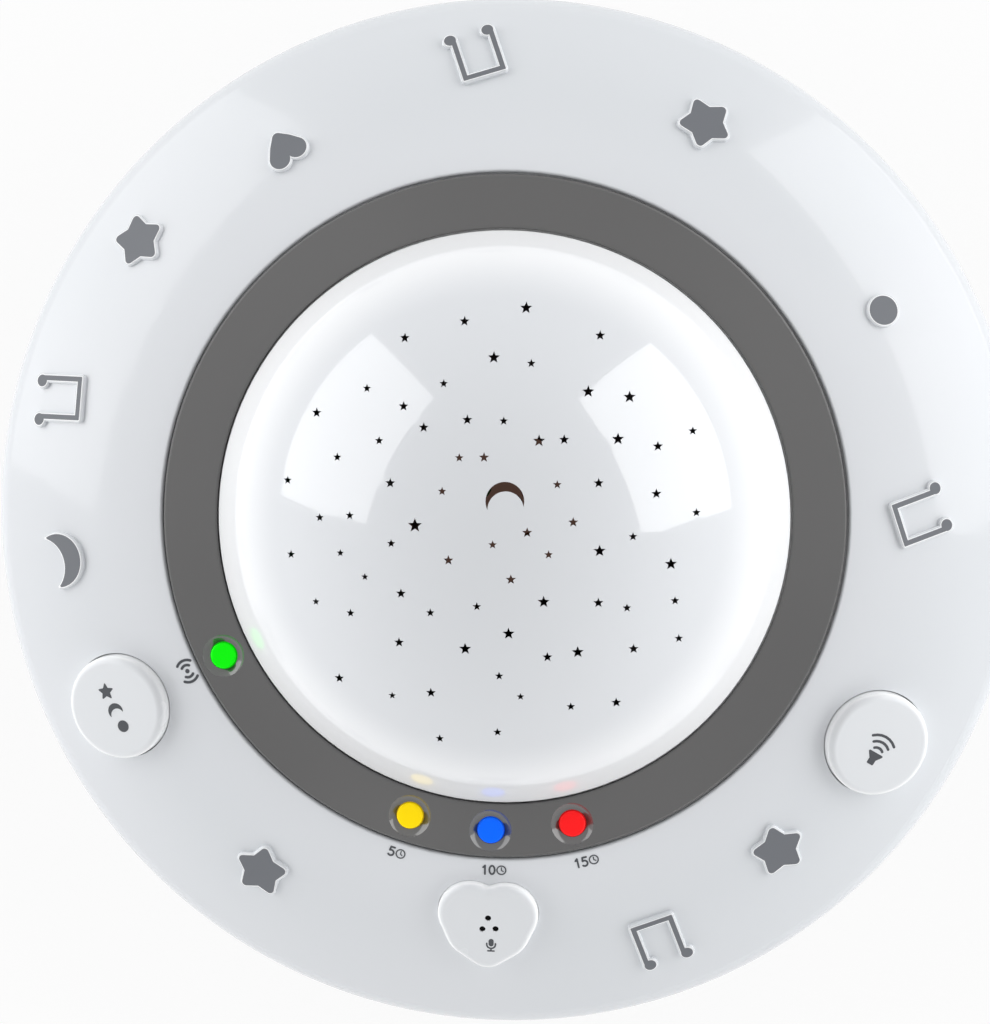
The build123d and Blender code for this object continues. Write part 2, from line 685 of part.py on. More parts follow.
def battery_bay() -> Part:
    """Walls and roof of the bay, the kerb over its door and the door's screw bosses."""
    walls = Rectangle(BAY_LENGTH + 2 * BAY_WALL, BAY_WIDTH + 2 * BAY_WALL)
    bay = upright(walls, FLOOR_TOP - FLOOR / 2, BAY_TOP)
    bay += upright(door_outline(DOOR_FIT + BAY_WALL), FLOOR_TOP - FLOOR / 2, DOOR_TOP + FLOOR)
    bay = Pos(0, BAY_MIDDLE) * bay
    for side in (-1, 1):
        place = (side * EAR_X, BAY_MIDDLE)
        bay += disc(POST_RADIUS, DOOR_TOP, DOOR_TOP + DOOR_BOSS_HEIGHT, place)
        bay += disc(STAND_BOSS, BAY_ROOF, STAND_SEAT, (side * STAND_BOSS_SPREAD, 0))
    return bay


def bay_cuts() -> list:
    room = Pos(0, BAY_MIDDLE) * upright(Rectangle(BAY_LENGTH, BAY_WIDTH), BASE_HEIGHT, BAY_ROOF)
    recess = Pos(0, BAY_MIDDLE) * upright(door_outline(DOOR_FIT), BASE_HEIGHT - OVERRUN, DOOR_TOP)
    cuts = [room, recess]
    for side in (-1, 1):
        place = (side * EAR_X, BAY_MIDDLE)
        cuts.append(screw_hole(place, DOOR_TOP, DOOR_SCREW_LENGTH, SCREW_RADIUS))
        stand_hole = (side * STAND_BOSS_SPREAD, 0)
        depth = SMALL_SCREW_LENGTH - STAND_PLATE
        cuts.append(screw_hole(stand_hole, STAND_SEAT - depth, depth, SMALL_SCREW))
    return cuts


def speaker_boss(angle: float) -> Vector:
    return Vector(*SPEAKER_PLACE) + spot(SPEAKER_RADIUS + SMALL_SCREW + 2 * CLOSE_FIT, angle)


def speaker_seat() -> Part:
    """The ring that centres the speaker, with its three screw bosses."""
    inner = SPEAKER_RADIUS + CLOSE_FIT
    height = FLOOR_TOP + SPEAKER_RIM_THICKNESS
    root = FLOOR_TOP - OVERRUN
    seat = disc(inner + SPEAKER_RING_WALL, root, FLOOR_TOP + SPEAKER_RING_HEIGHT, SPEAKER_PLACE)
    for angle in SPEAKER_BOSS_ANGLES:
        seat += disc(SMALL_BOSS, root, height, speaker_boss(angle))
        head_room = disc(SMALL_BOSS + CLOSE_FIT, height, height + SPEAKER_RING_HEIGHT, speaker_boss(angle))
        seat -= head_room
    return seat


def grille_cuts() -> list:
    """Parallel slots in the floor, each as long as its chord of the grille's circle."""
    cuts = []
    for index in range(GRILLE_SLOTS):
        offset = (index - (GRILLE_SLOTS - 1) / 2) * GRILLE_PITCH
        length = 2 * sqrt(GRILLE_RADIUS**2 - offset**2)
        slot = Pos(SPEAKER_PLACE[0], SPEAKER_PLACE[1] + offset) * SlotOverall(length, GRILLE_SLOT)
        cuts.append(upright(slot, BASE_HEIGHT - OVERRUN, FLOOR_TOP + OVERRUN))
    return cuts


def main_board_bosses() -> list:
    reach = [size / 2 - MAIN_BOARD_INSET for size in MAIN_BOARD_SIZE]
    return [
        Vector(MAIN_BOARD_PLACE[0] + sx * reach[0], MAIN_BOARD_PLACE[1] + sy * reach[1])
        for sx, sy in ((1, 1), (-1, 1), (-1, -1), (1, -1))
    ]


def lower_housing() -> Part:
    lower_core = turned(
        flat(
            arc_about(
                LOWER_CENTRE,
                Vector(LOWER_CENTRE.X, LOWER_CENTRE.Y - LOWER_CROWN + WALL / 2),
                rim_tangent(LOWER_CENTRE, WALL / 2),
            ),
            Polyline(
                rim_tangent(LOWER_CENTRE, WALL / 2),
                (rim_tangent(LOWER_CENTRE, WALL / 2).X, BAY_TOP),
                (0, BAY_TOP),
                (0, LOWER_CENTRE.Y - LOWER_CROWN + WALL / 2),
                (LOWER_CENTRE.X, LOWER_CENTRE.Y - LOWER_CROWN + WALL / 2),
            ),
        )
    )
    column_radius = SCREW_HEAD + SLIDE_FIT + WALL
    columns = [disc(column_radius, 0, POST_FOOT, spot(POST_CIRCLE, a)) for a in POST_AZIMUTHS]
    pegs = [disc(SMALL_BOSS, BASE_HEIGHT, MAIN_BOARD_HEIGHT, place) for place in main_board_bosses()]
    body = lower_shell() + ((Part() + columns + pegs) & lower_core)
    body += battery_bay() + speaker_seat()
    cuts = bay_cuts() + grille_cuts()
    for azimuth in POST_AZIMUTHS:
        place = spot(POST_CIRCLE, azimuth)
        seat = POST_FOOT - POST_SINK
        cuts.append(disc(SCREW_HEAD + SLIDE_FIT, 0, seat, place))
        cuts.append(screw_hole(place, seat, POST_SINK, SCREW_RADIUS))
    for place in main_board_bosses():
        depth = SMALL_SCREW_LENGTH - BOARD
        cuts.append(screw_hole(place, MAIN_BOARD_HEIGHT - depth, depth, SMALL_SCREW))
    for angle in SPEAKER_BOSS_ANGLES:
        low = BASE_HEIGHT + FLOOR / 3
        high = FLOOR_TOP + SPEAKER_RIM_THICKNESS
        cuts.append(screw_hole(speaker_boss(angle), low, high - low, SMALL_SCREW))
    cuts.append(disc(SPEAKER_RADIUS + CLOSE_FIT, FLOOR_TOP, BAY_TOP, SPEAKER_PLACE))
    for place in FOOT_PLACES:
        cuts.append(disc(FOOT_RADIUS, BASE_HEIGHT - OVERRUN, BASE_HEIGHT + FOOT_SEAT, place))
    pocket = Pos(*POWER_PLACE) * rounded(*POWER_POCKET, DOOR_CORNER)
    cuts.append(upright(pocket, BASE_HEIGHT - OVERRUN, BASE_HEIGHT + POWER_POCKET_DEPTH))
    slot = Rectangle(POWER_KNOB[0] + 2 * SLIDE_FIT, POWER_KNOB[1] + POWER_TRAVEL + 2 * SLIDE_FIT)
    cuts.append(upright(Pos(*POWER_PLACE) * slot, BASE_HEIGHT, FLOOR_TOP + OVERRUN))
    return body - cuts


def rubber_feet() -> Part:
    return Part() + [disc(FOOT_RADIUS, 0, BASE_HEIGHT + FOOT_SEAT, place) for place in FOOT_PLACES]


# ---------------------------------------------------------------- ring and dome


def bezel_ring() -> Part:
    pocket = DOME_LIP_RADIUS + SLIDE_FIT
    lip_room = SEAT_FLOOR + DOME_LIP_HEIGHT + CLOSE_FIT
    outer_top = Vector(RING_OUTER, RING_TOP_OUTER)
    inner_top = Vector(RING_INNER, RING_TOP_INNER)
    outline = flat(
        Polyline(
            outer_top,
            inner_top,
            (RING_INNER, lip_room),
            (pocket, lip_room),
            (pocket, SEAT_FLOOR),
            (pocket + RING_SKIRT, SEAT_FLOOR),
            (pocket + RING_SKIRT, RING_UNDER),
            (RING_OUTER - RING_SKIRT, RING_UNDER),
            (RING_OUTER - RING_SKIRT, SEAT_FLOOR),
            (RING_OUTER, SEAT_FLOOR),
            close=True,
        )
    )
    tops = [outline.vertices().sort_by_distance(corner)[0] for corner in (outer_top, inner_top)]
    ring = turned(fillet(tops, RING_EDGE_ROUND))
    cuts = []
    for azimuth in RING_SCREW_AZIMUTHS:
        place = spot(RING_SCREW_CIRCLE, azimuth)
        ring += disc(SMALL_BOSS, SEAT_FLOOR, RING_UNDER, place)
        cuts.append(screw_hole(place, SHELF_UNDER, SMALL_SCREW_LENGTH, SMALL_SCREW))
    for name, azimuth in KEY_AZIMUTHS.items():
        place = key_place(name)
        floor = ring_top(KEY_CIRCLE) - KEY_DISH_DEPTH
        taper = (KEY_DISH_TOP - KEY_DISH_FLOOR) / KEY_DISH_DEPTH
        height = RING_TOP_INNER - floor
        dish = Cone(
            KEY_DISH_FLOOR,
            KEY_DISH_FLOOR + taper * height,
            height,
            align=(Align.CENTER, Align.CENTER, Align.MIN),
        )
        cuts.append(Pos(*spot(KEY_CIRCLE + KEY_DISH_SHIFT, azimuth)) * Pos(0, 0, floor) * dish)
        cuts.append(disc(KEY_RADIUS + KEY_FIT, SEAT_FLOOR, RING_TOP_INNER, place))
        cuts.append(disc(KEY_LIP + BUTTON_FIT, SEAT_FLOOR, RING_UNDER, place))
    return ring - cuts


def ring_screws() -> Part:
    """Six screws that draw the ring down on the shelf from below."""
    screws = [Pos(*spot(RING_SCREW_CIRCLE, a)) * small_screw(SHELF_UNDER) for a in RING_SCREW_AZIMUTHS]
    return Part() + screws


def dome_openings() -> Part:
    """Star and moon prisms, all along the dome's own axis."""
    shapes = []
    for tip, places in STAR_HOLES.items():
        for x, y in places:
            shapes.append(star(tip, tip * STAR_WAIST, (x * STAR_MAP_UNIT, y * STAR_MAP_UNIT)))
    moon = crescent(MOON_HOLE_OUTER, MOON_HOLE_INNER, MOON_HOLE_SHIFT)
    place = Pos(MOON_HOLE_PLACE[0] * STAR_MAP_UNIT, MOON_HOLE_PLACE[1] * STAR_MAP_UNIT)
    shapes.append(place * Rot(0, 0, MOON_HOLE_LEAN) * moon)
    above = DOME_MIDDLE + DOME_RADIUS + OVERRUN
    prisms = [upright(shape, DOME_MIDDLE, above) for shape in shapes]
    return Rot(0, 0, DOME_TURN) * Compound(prisms)


def dome() -> Part:
    skirt_inner = DOME_EDGE - DOME_WALL
    inner_radius = DOME_RADIUS - DOME_WALL
    centre = Vector(0, DOME_MIDDLE)
    inner_edge = Vector(skirt_inner, DOME_MIDDLE + sqrt(inner_radius**2 - skirt_inner**2))
    lip_top = SEAT_FLOOR + DOME_LIP_HEIGHT
    outline = flat(
        arc_about(centre, Vector(0, DOME_MIDDLE + DOME_RADIUS), Vector(DOME_EDGE, RING_TOP_INNER)),
        Polyline(
            (DOME_EDGE, RING_TOP_INNER),
            (DOME_EDGE, lip_top),
            (DOME_LIP_RADIUS, lip_top),
            (DOME_LIP_RADIUS, SEAT_FLOOR),
            (skirt_inner, SEAT_FLOOR),
            inner_edge,
        ),
        arc_about(centre, inner_edge, Vector(0, DOME_MIDDLE + inner_radius)),
        Line((0, DOME_MIDDLE + inner_radius), (0, DOME_MIDDLE + DOME_RADIUS)),
    )
    return turned(outline) - dome_openings().solids()


# --------------------------------------------------------- keys, buttons, switches


def key_cap(name: str) -> Part:
    """A coloured cap with its retaining lip and stem."""
    top = ring_top(KEY_CIRCLE) - KEY_BELOW_RING
    outline = flat(
        Polyline(
            (0, top),
            (KEY_RADIUS, top),
            (KEY_RADIUS, KEY_LIP_TOP),
            (KEY_LIP, KEY_LIP_TOP),
            (KEY_LIP, KEY_LIP_TOP - KEY_LIP_THICKNESS),
            (KEY_STEM, KEY_LIP_TOP - KEY_LIP_THICKNESS),
            (KEY_STEM, KEY_STEM_END),
            (0, KEY_STEM_END),
            close=True,
        )
    )
    edge = outline.vertices().sort_by_distance((KEY_RADIUS, top))[0]
    return Pos(*key_place(name)) * turned(fillet(edge, KEY_EDGE_ROUND))


def plunger(stem_end: float, travel: float) -> Part:
    """A switch's plunger, from the stem that presses it down into the switch."""
    return disc(PLUNGER_RADIUS, stem_end - travel - SWITCH_SINK / 2, stem_end)


def push_switch(board_top: float) -> Part:
    """A square push switch on its board, open where the plunger goes in."""
    body = upright(Rectangle(SWITCH_WIDTH, SWITCH_WIDTH), board_top, board_top + SWITCH_HEIGHT)
    top = board_top + SWITCH_HEIGHT
    return body - disc(PLUNGER_RADIUS + CLOSE_FIT, top - SWITCH_SINK, top)


def key_switches() -> Part:
    switches = []
    for name, azimuth in KEY_AZIMUTHS.items():
        switches.append(Pos(*key_place(name)) * Rot(0, 0, azimuth) * push_switch(KEY_BOARD_TOP))
    return Part() + switches


def key_board() -> Part:
    """A curved board under the shelf, with the four key switches on it."""
    inner = KEY_CIRCLE - KEY_BOARD_WIDTH / 2
    outer = KEY_CIRCLE + KEY_BOARD_WIDTH / 2
    sweep = KEY_BOARD_END - KEY_BOARD_START
    strip = flat(
        CenterArc((0, 0), outer, KEY_BOARD_START, sweep),
        Line(spot(outer, KEY_BOARD_END), spot(inner, KEY_BOARD_END)),
        CenterArc((0, 0), inner, KEY_BOARD_START, sweep),
        Line(spot(inner, KEY_BOARD_START), spot(outer, KEY_BOARD_START)),
    )
    board = upright(strip, KEY_BOARD_TOP - BOARD, KEY_BOARD_TOP)
    holes = [
        disc(SMALL_SCREW + CLOSE_FIT, KEY_BOARD_TOP - BOARD, KEY_BOARD_TOP, spot(KEY_CIRCLE, a))
        for a in KEY_BOSS_AZIMUTHS
    ]
    return board - holes


def button_cap() -> Part:
    """A large hollow button, in the frame of the plane that touches the flange."""
    lip = BUTTON_RADIUS + BUTTON_LIP
    shoulder = Vector(BUTTON_RADIUS, BUTTON_RISE)
    crown_top = Vector(0, BUTTON_RISE + BUTTON_CROWN_RISE)
    crown = (BUTTON_RADIUS**2 + BUTTON_CROWN_RISE**2) / (2 * BUTTON_CROWN_RISE)
    bore = BUTTON_RADIUS - BUTTON_WALL
    ceiling = BUTTON_RISE - BUTTON_EDGE_ROUND
    outline = flat(
        arc_about(crown_top - Vector(0, crown), crown_top, shoulder),
        Polyline(
            shoulder,
            (BUTTON_RADIUS, BUTTON_LIP_TOP),
            (lip, BUTTON_LIP_TOP),
            (lip, BUTTON_LIP_UNDER),
            (bore, BUTTON_LIP_UNDER),
            (bore, ceiling),
            (BUTTON_STEM, ceiling),
            (BUTTON_STEM, BUTTON_STEM_END),
            (0, BUTTON_STEM_END),
            crown_top,
        ),
    )
    edge = outline.vertices().sort_by_distance(shoulder)[0]
    cap = turned(fillet(edge, BUTTON_EDGE_ROUND))
    for turn in (0, 90):
        rib = Rot(0, 0, turn) * Rectangle(2 * bore + BUTTON_WALL, BUTTON_STEM / 2)
        cap += upright(rib, BUTTON_LIP_TOP / 2, ceiling + BUTTON_WALL / 4)
    return cap


def button_board() -> Part:
    """The small board behind a large button, in the button's plane."""
    outline = rounded(BUTTON_BOARD_LENGTH, BUTTON_BOARD_WIDTH, DOOR_CORNER)
    for x in BOARD_SCREW_SPOTS:
        outline -= Pos(x, 0) * Circle(SMALL_SCREW + CLOSE_FIT)
    return upright(outline, BUTTON_BOARD_TOP - BOARD, BUTTON_BOARD_TOP)


def small_screw(seat: float) -> Part:
    """A board screw that points up, with the underside of its head at a height."""
    shank = disc(SMALL_SCREW, seat, seat + SMALL_SCREW_LENGTH)
    return shank + disc(SMALL_HEAD, seat - SMALL_HEAD_HEIGHT, seat)


def board_screws() -> Part:
    """The small screws that hold every board, the speaker and the lamp stand."""
    screws = []
    for azimuth in KEY_BOSS_AZIMUTHS:
        screws.append(Pos(*spot(KEY_CIRCLE, azimuth)) * small_screw(KEY_BOARD_TOP - BOARD))
    for name in BUTTON_AZIMUTHS:
        for x in BOARD_SCREW_SPOTS:
            screws.append(button_plane(name) * (Pos(x, 0) * small_screw(BUTTON_BOARD_TOP - BOARD)))
    downward = Rot(180, 0, 0) * small_screw(0)
    down_seats = [(place, MAIN_BOARD_HEIGHT + BOARD) for place in main_board_bosses()]
    for side in (-1, 1):
        down_seats.append((Vector(side * STAND_BOSS_SPREAD, 0), STAND_SEAT + STAND_PLATE))
    for place, seat in down_seats:
        screws.append(Pos(place.X, place.Y, seat) * downward)
    return Part() + screws


# -------------------------------------------------------------------- microphone


def mic_cover() -> Part:
    """The heart, seated in its pocket, with a rounded edge and three sound holes."""
    cover = upright(mic_outline(0), -HEART_SEAT_DEPTH, HEART_RISE)
    cover = fillet(cover.faces().sort_by(Axis.Z)[-1].edges(), HEART_EDGE_ROUND)
    holes = [disc(SOUND_HOLE, -HEART_SEAT_DEPTH, HEART_RISE, place) for place in SOUND_HOLES]
    return HEART_PLANE * (cover - holes)


BOOT_TOP = -HEART_SEAT_DEPTH - WALL / 2


def mic_boot() -> Part:
    """The rubber sleeve that holds the capsule in its collar."""
    sleeve = Circle(CAPSULE_RADIUS + BOOT_WALL) - Circle(CAPSULE_RADIUS)
    return HEART_PLANE * upright(sleeve, BOOT_TOP - BOOT_LENGTH, BOOT_TOP)


def microphone() -> Part:
    return HEART_PLANE * disc(CAPSULE_RADIUS, BOOT_TOP - CAPSULE_HEIGHT, BOOT_TOP)


# ----------------------------------------------------------------- battery parts


def cell_rows() -> list:
    """Plan y of each cell, and the side that its spring is on."""
    first = BAY_MIDDLE - (CELL_COUNT - 1) / 2 * CELL_PITCH
    return [(first + index * CELL_PITCH, -1 if index % 2 else 1) for index in range(CELL_COUNT)]


def along_x(side: int, distance: float, y: float) -> Location:
    """A frame whose z axis points along X towards the middle, from a wall of the bay."""
    tilt = -90 if side > 0 else 90
    return Pos(side * distance, y, CELL_AXIS) * Rot(0, tilt, 0)


def battery_cells() -> Part:
    cells = []
    for y, side in cell_rows():
        place = along_x(side, BAY_LENGTH / 2 - SPRING_ROOM, y)
        cell = disc(CELL_RADIUS, 0, CELL_LENGTH) + disc(CELL_TIP_RADIUS, CELL_LENGTH, CELL_LENGTH + CELL_TIP)
        cells.append(place * cell)
    return Part() + cells


def battery_springs() -> Part:
    """The three negative springs, drawn as the hollow cones that their coils fill."""
    outline = flat(
        Polyline(
            (SPRING_WIDE, CONTACT),
            (SPRING_NARROW, SPRING_ROOM),
            (SPRING_NARROW - SPRING_WIRE, SPRING_ROOM),
            (SPRING_WIDE - SPRING_WIRE, CONTACT),
            close=True,
        )
    )
    spring = turned(outline)
    return Part() + [along_x(side, BAY_LENGTH / 2, y) * spring for y, side in cell_rows()]


def battery_contacts() -> Part:
    """A plate at each end of each cell; the tip's plate stands out to meet it."""
    plate = upright(rounded(CONTACT_WIDTH, CONTACT_WIDTH, SPRING_WIRE), 0, CONTACT)
    button = disc(CELL_TIP_RADIUS, 0, CONTACT_ROOM)
    plates = []
    for y, side in cell_rows():
        plates.append(along_x(side, BAY_LENGTH / 2, y) * plate)
        plates.append(along_x(-side, BAY_LENGTH / 2, y) * (plate + button))
    return Part() + plates


def battery_door() -> Part:
    """A flush plate with two screw ears and four ribs that hold the cells up."""
    door = upright(door_outline(0), BASE_HEIGHT, DOOR_TOP)
    for side in (-1, 1):
        sink = Cone(
            SCREW_HEAD,
            SCREW_RADIUS,
            SCREW_HEAD - SCREW_RADIUS,
            align=(Align.CENTER, Align.CENTER, Align.MIN),
        )
        door -= Pos(side * EAR_X, 0, BASE_HEIGHT) * sink
        door -= disc(SCREW_RADIUS, BASE_HEIGHT, DOOR_TOP, (side * EAR_X, 0))
        for row in (-1, 1):
            x = side * BAY_LENGTH / 4
            y = row * CELL_PITCH / 2
            foot = Pos(x, y) * Rectangle(DOOR_RIB, CELL_RADIUS)
            door += upright(foot, DOOR_TOP, CELL_AXIS - CELL_RADIUS)
    return Pos(0, BAY_MIDDLE) * door


def door_screws() -> Part:
    """The two countersunk screws that stay captive in the door."""
    screws = []
    for side in (-1, 1):
        sunk = SCREW_HEAD - SCREW_RADIUS
        head = Cone(SCREW_HEAD, SCREW_RADIUS, sunk, align=(Align.CENTER, Align.CENTER, Align.MIN))
        shank = disc(SCREW_RADIUS, BASE_HEIGHT + sunk, DOOR_TOP + DOOR_SCREW_LENGTH - OVERRUN)
        screws.append(Pos(side * EAR_X, BAY_MIDDLE) * (Pos(0, 0, BASE_HEIGHT) * head + shank))
    return Part() + screws


# --------------------------------------------------------- speaker, switch, boards


def speaker_frame() -> Part:
    """The basket: a rim, a conical wall with windows, and a back plate."""
    rim = FLOOR_TOP + SPEAKER_RIM_THICKNESS
    back = FLOOR_TOP + SPEAKER_DEPTH
    throat = SPEAKER_RADIUS - SPEAKER_RIM
    outline = flat(
        Polyline(
            (throat, FLOOR_TOP),
            (SPEAKER_RADIUS, FLOOR_TOP),
            (SPEAKER_RADIUS, rim),
            (throat + CONE_PAPER, rim),
            (MAGNET_RADIUS + 2 * CONE_PAPER, back),
            (0, back),
            (0, back - SPEAKER_RIM_THICKNESS),
            (MAGNET_RADIUS, back - SPEAKER_RIM_THICKNESS),
            (throat, FLOOR_TOP + CONE_PAPER),
            close=True,
        )
    )
    spokes = Part()
    for index in range(BASKET_WINDOWS):
        spoke = Rectangle(2 * SPEAKER_RADIUS, BASKET_SPOKE)
        spokes += Rot(0, 0, index * 180 / BASKET_WINDOWS) * upright(spoke, FLOOR_TOP, back)
    band = Circle(throat - BASKET_SPOKE / 2) - Circle(MAGNET_RADIUS + BASKET_SPOKE / 2)
    windows = upright(band, FLOOR_TOP, back) - spokes
    return Pos(*SPEAKER_PLACE) * (turned(outline) - windows)


def speaker_cone() -> Part:
    """Paper cone with its dust cap, hung from the frame's rim."""
    throat = SPEAKER_RADIUS - SPEAKER_RIM
    deep = FLOOR_TOP + SPEAKER_DEPTH / 2
    outline = flat(
        Polyline(
            (throat, FLOOR_TOP),
            (throat, FLOOR_TOP + CONE_PAPER),
            (DUST_CAP_RADIUS, deep + CONE_PAPER),
            (0, deep + CONE_PAPER),
            (0, deep),
            (DUST_CAP_RADIUS, deep),
            (throat - 2 * CONE_PAPER, FLOOR_TOP),
            close=True,
        )
    )
    return Pos(*SPEAKER_PLACE) * turned(outline)


def speaker_magnet() -> Part:
    back = FLOOR_TOP + SPEAKER_DEPTH
    return disc(MAGNET_RADIUS, back, back + MAGNET_HEIGHT, SPEAKER_PLACE)


def speaker_screws() -> Part:
    """Three screws whose heads hold the speaker's rim down."""
    seat = FLOOR_TOP + SPEAKER_RIM_THICKNESS
    length = seat - BASE_HEIGHT - FLOOR / 3
    screw = disc(SMALL_SCREW, -length, 0) + disc(SMALL_HEAD, 0, SMALL_HEAD_HEIGHT)
    screws = []
    for angle in SPEAKER_BOSS_ANGLES:
        place = speaker_boss(angle)
        screws.append(Pos(place.X, place.Y, seat) * screw)
    return Part() + screws


def housing_screws() -> Part:
    """The four long screws that draw the lower shell up to the posts."""
    seat = POST_FOOT - POST_SINK
    screw = disc(SCREW_RADIUS, seat, seat + SCREW_LENGTH) + disc(SCREW_HEAD, seat - SCREW_HEAD_HEIGHT, seat)
    return Part() + [Pos(*spot(POST_CIRCLE, azimuth)) * screw for azimuth in POST_AZIMUTHS]


def power_switch_knob() -> Part:
    """The slider, at the end of its travel nearer the front."""
    place = Pos(POWER_PLACE[0], POWER_PLACE[1] - POWER_TRAVEL / 2)
    knob = Rectangle(*POWER_KNOB)
    return place * upright(knob, BASE_HEIGHT + POWER_KNOB_BELOW, FLOOR_TOP + POWER_KNOB_ROOT)


def power_switch_body() -> Part:
    width, depth, height = POWER_BODY
    body = upright(Rectangle(width, depth), FLOOR_TOP, FLOOR_TOP + height)
    run = Rectangle(POWER_KNOB[0] + 2 * SLIDE_FIT, POWER_KNOB[1] + POWER_TRAVEL + 2 * SLIDE_FIT)
    body -= upright(run, FLOOR_TOP, FLOOR_TOP + POWER_KNOB_ROOT + SLIDE_FIT)
    return Pos(*POWER_PLACE) * body


def main_board() -> Part:
    outline = Pos(*MAIN_BOARD_PLACE) * rounded(*MAIN_BOARD_SIZE, DOOR_CORNER)
    board = upright(outline, MAIN_BOARD_HEIGHT, MAIN_BOARD_HEIGHT + BOARD)
    holes = [
        disc(SMALL_SCREW + CLOSE_FIT, MAIN_BOARD_HEIGHT, MAIN_BOARD_HEIGHT + BOARD, place)
        for place in main_board_bosses()
    ]
    return board - holes


def sound_chip() -> Part:
    top = MAIN_BOARD_HEIGHT + BOARD
    chip = upright(Rectangle(CHIP_SIZE[0], CHIP_SIZE[1]), top, top + CHIP_SIZE[2])
    return Pos(MAIN_BOARD_PLACE[0], MAIN_BOARD_PLACE[1] + CHIP_SHIFT) * chip


def capacitor() -> Part:
    top = MAIN_BOARD_HEIGHT + BOARD
    place = (MAIN_BOARD_PLACE[0], MAIN_BOARD_PLACE[1] + CAPACITOR_SHIFT)
    return disc(CAPACITOR_RADIUS, top, top + CAPACITOR_HEIGHT, place)


# ------------------------------------------------------------------ light engine


def lamp_stand() -> Part:
    """A post on the battery bay that lifts the lamps into the dome."""
    stand = upright(rounded(*STAND_FOOT, DOOR_CORNER), STAND_SEAT, STAND_SEAT + STAND_PLATE)
    stand += disc(STAND_POST, STAND_SEAT, STAND_TOP)
    stand += disc(LIGHT_BOARD_RADIUS + LIGHT_TRAY_RIM, STAND_TOP, LIGHT_BOARD_TOP)
    stand -= disc(LIGHT_BOARD_RADIUS + CLOSE_FIT, LIGHT_BOARD_TOP - BOARD, LIGHT_BOARD_TOP)
    stand -= disc(STAND_POST - WALL / 2, STAND_SEAT, STAND_TOP + STAND_PLATE)
    for side in (-1, 1):
        hole = (side * STAND_BOSS_SPREAD, 0)
        stand -= disc(SMALL_SCREW + CLOSE_FIT, STAND_SEAT, STAND_SEAT + STAND_PLATE, hole)
    return stand


def lamp_board() -> Part:
    return disc(LIGHT_BOARD_RADIUS, LIGHT_BOARD_TOP - BOARD, LIGHT_BOARD_TOP)


def lamp(index: int) -> Part:
    """One round-nosed lamp with its base flange, standing on the lamp board."""
    shoulder = LED_HEIGHT
    outline = flat(
        Polyline(
            (0, 0),
            (LED_FLANGE, 0),
            (LED_FLANGE, LED_FLANGE_HEIGHT),
            (LED_RADIUS, LED_FLANGE_HEIGHT),
            (LED_RADIUS, shoulder),
        ),
        arc_about(Vector(0, shoulder), Vector(LED_RADIUS, shoulder), Vector(0, shoulder + LED_RADIUS)),
        Line((0, shoulder + LED_RADIUS), (0, 0)),
    )
    place = spot(LED_CIRCLE, 45 + index * 360 / LED_COUNT)
    return Pos(place.X, place.Y, LIGHT_BOARD_TOP) * turned(outline)


# ------------------------------------------------------------------------ nodes

NODES = {
    "upper_housing": upper_housing(),
    "lower_housing": lower_housing(),
    "bezel_ring": bezel_ring(),
    "ring_screws": ring_screws(),
    "dome": dome(),
    "mic_cover": mic_cover(),
    "mic_boot": mic_boot(),
    "microphone": microphone(),
    "rubber_feet": rubber_feet(),
    "housing_screws": housing_screws(),
    "board_screws": board_screws(),
    "key_board": key_board(),
    "key_switches": key_switches(),
    "battery_cells": battery_cells(),
    "battery_springs": battery_springs(),
    "battery_contacts": battery_contacts(),
    "battery_door": battery_door(),
    "door_screws": door_screws(),
    "speaker_frame": speaker_frame(),
    "speaker_cone": speaker_cone(),
    "speaker_magnet": speaker_magnet(),
    "speaker_screws": speaker_screws(),
    "power_switch_knob": power_switch_knob(),
    "power_switch_body": power_switch_body(),
    "main_board": main_board(),
    "sound_chip": sound_chip(),
    "capacitor": capacitor(),
    "lamp_stand": lamp_stand(),
    "lamp_board": lamp_board(),
}
for name in KEY_AZIMUTHS:
    NODES[name + "_button"] = key_cap(name)
    NODES[name + "_plunger"] = Pos(*key_place(name)) * plunger(KEY_STEM_END, KEY_TRAVEL)
for name in BUTTON_AZIMUTHS:
    NODES[name + "_button"] = button_plane(name) * button_cap()
    NODES[name + "_plunger"] = button_plane(name) * plunger(BUTTON_STEM_END, BUTTON_TRAVEL)
    NODES[name + "_board"] = button_plane(name) * button_board()
    NODES[name + "_switch"] = button_plane(name) * push_switch(BUTTON_BOARD_TOP)
for index, colour in enumerate(("red", "green", "blue", "amber")):
    NODES[colour + "_lamp"] = lamp(index)

os.makedirs("parts", exist_ok=True)
for name, solid in NODES.items():
    export_step(solid, f"parts/{name}.step")
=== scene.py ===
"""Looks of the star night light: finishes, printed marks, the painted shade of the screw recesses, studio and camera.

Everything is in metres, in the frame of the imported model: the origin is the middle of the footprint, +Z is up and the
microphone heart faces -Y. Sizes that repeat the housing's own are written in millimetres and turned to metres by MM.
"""

import json
import logging
import math
from dataclasses import dataclass, field
from enum import Enum
from functools import cache
from typing import Any

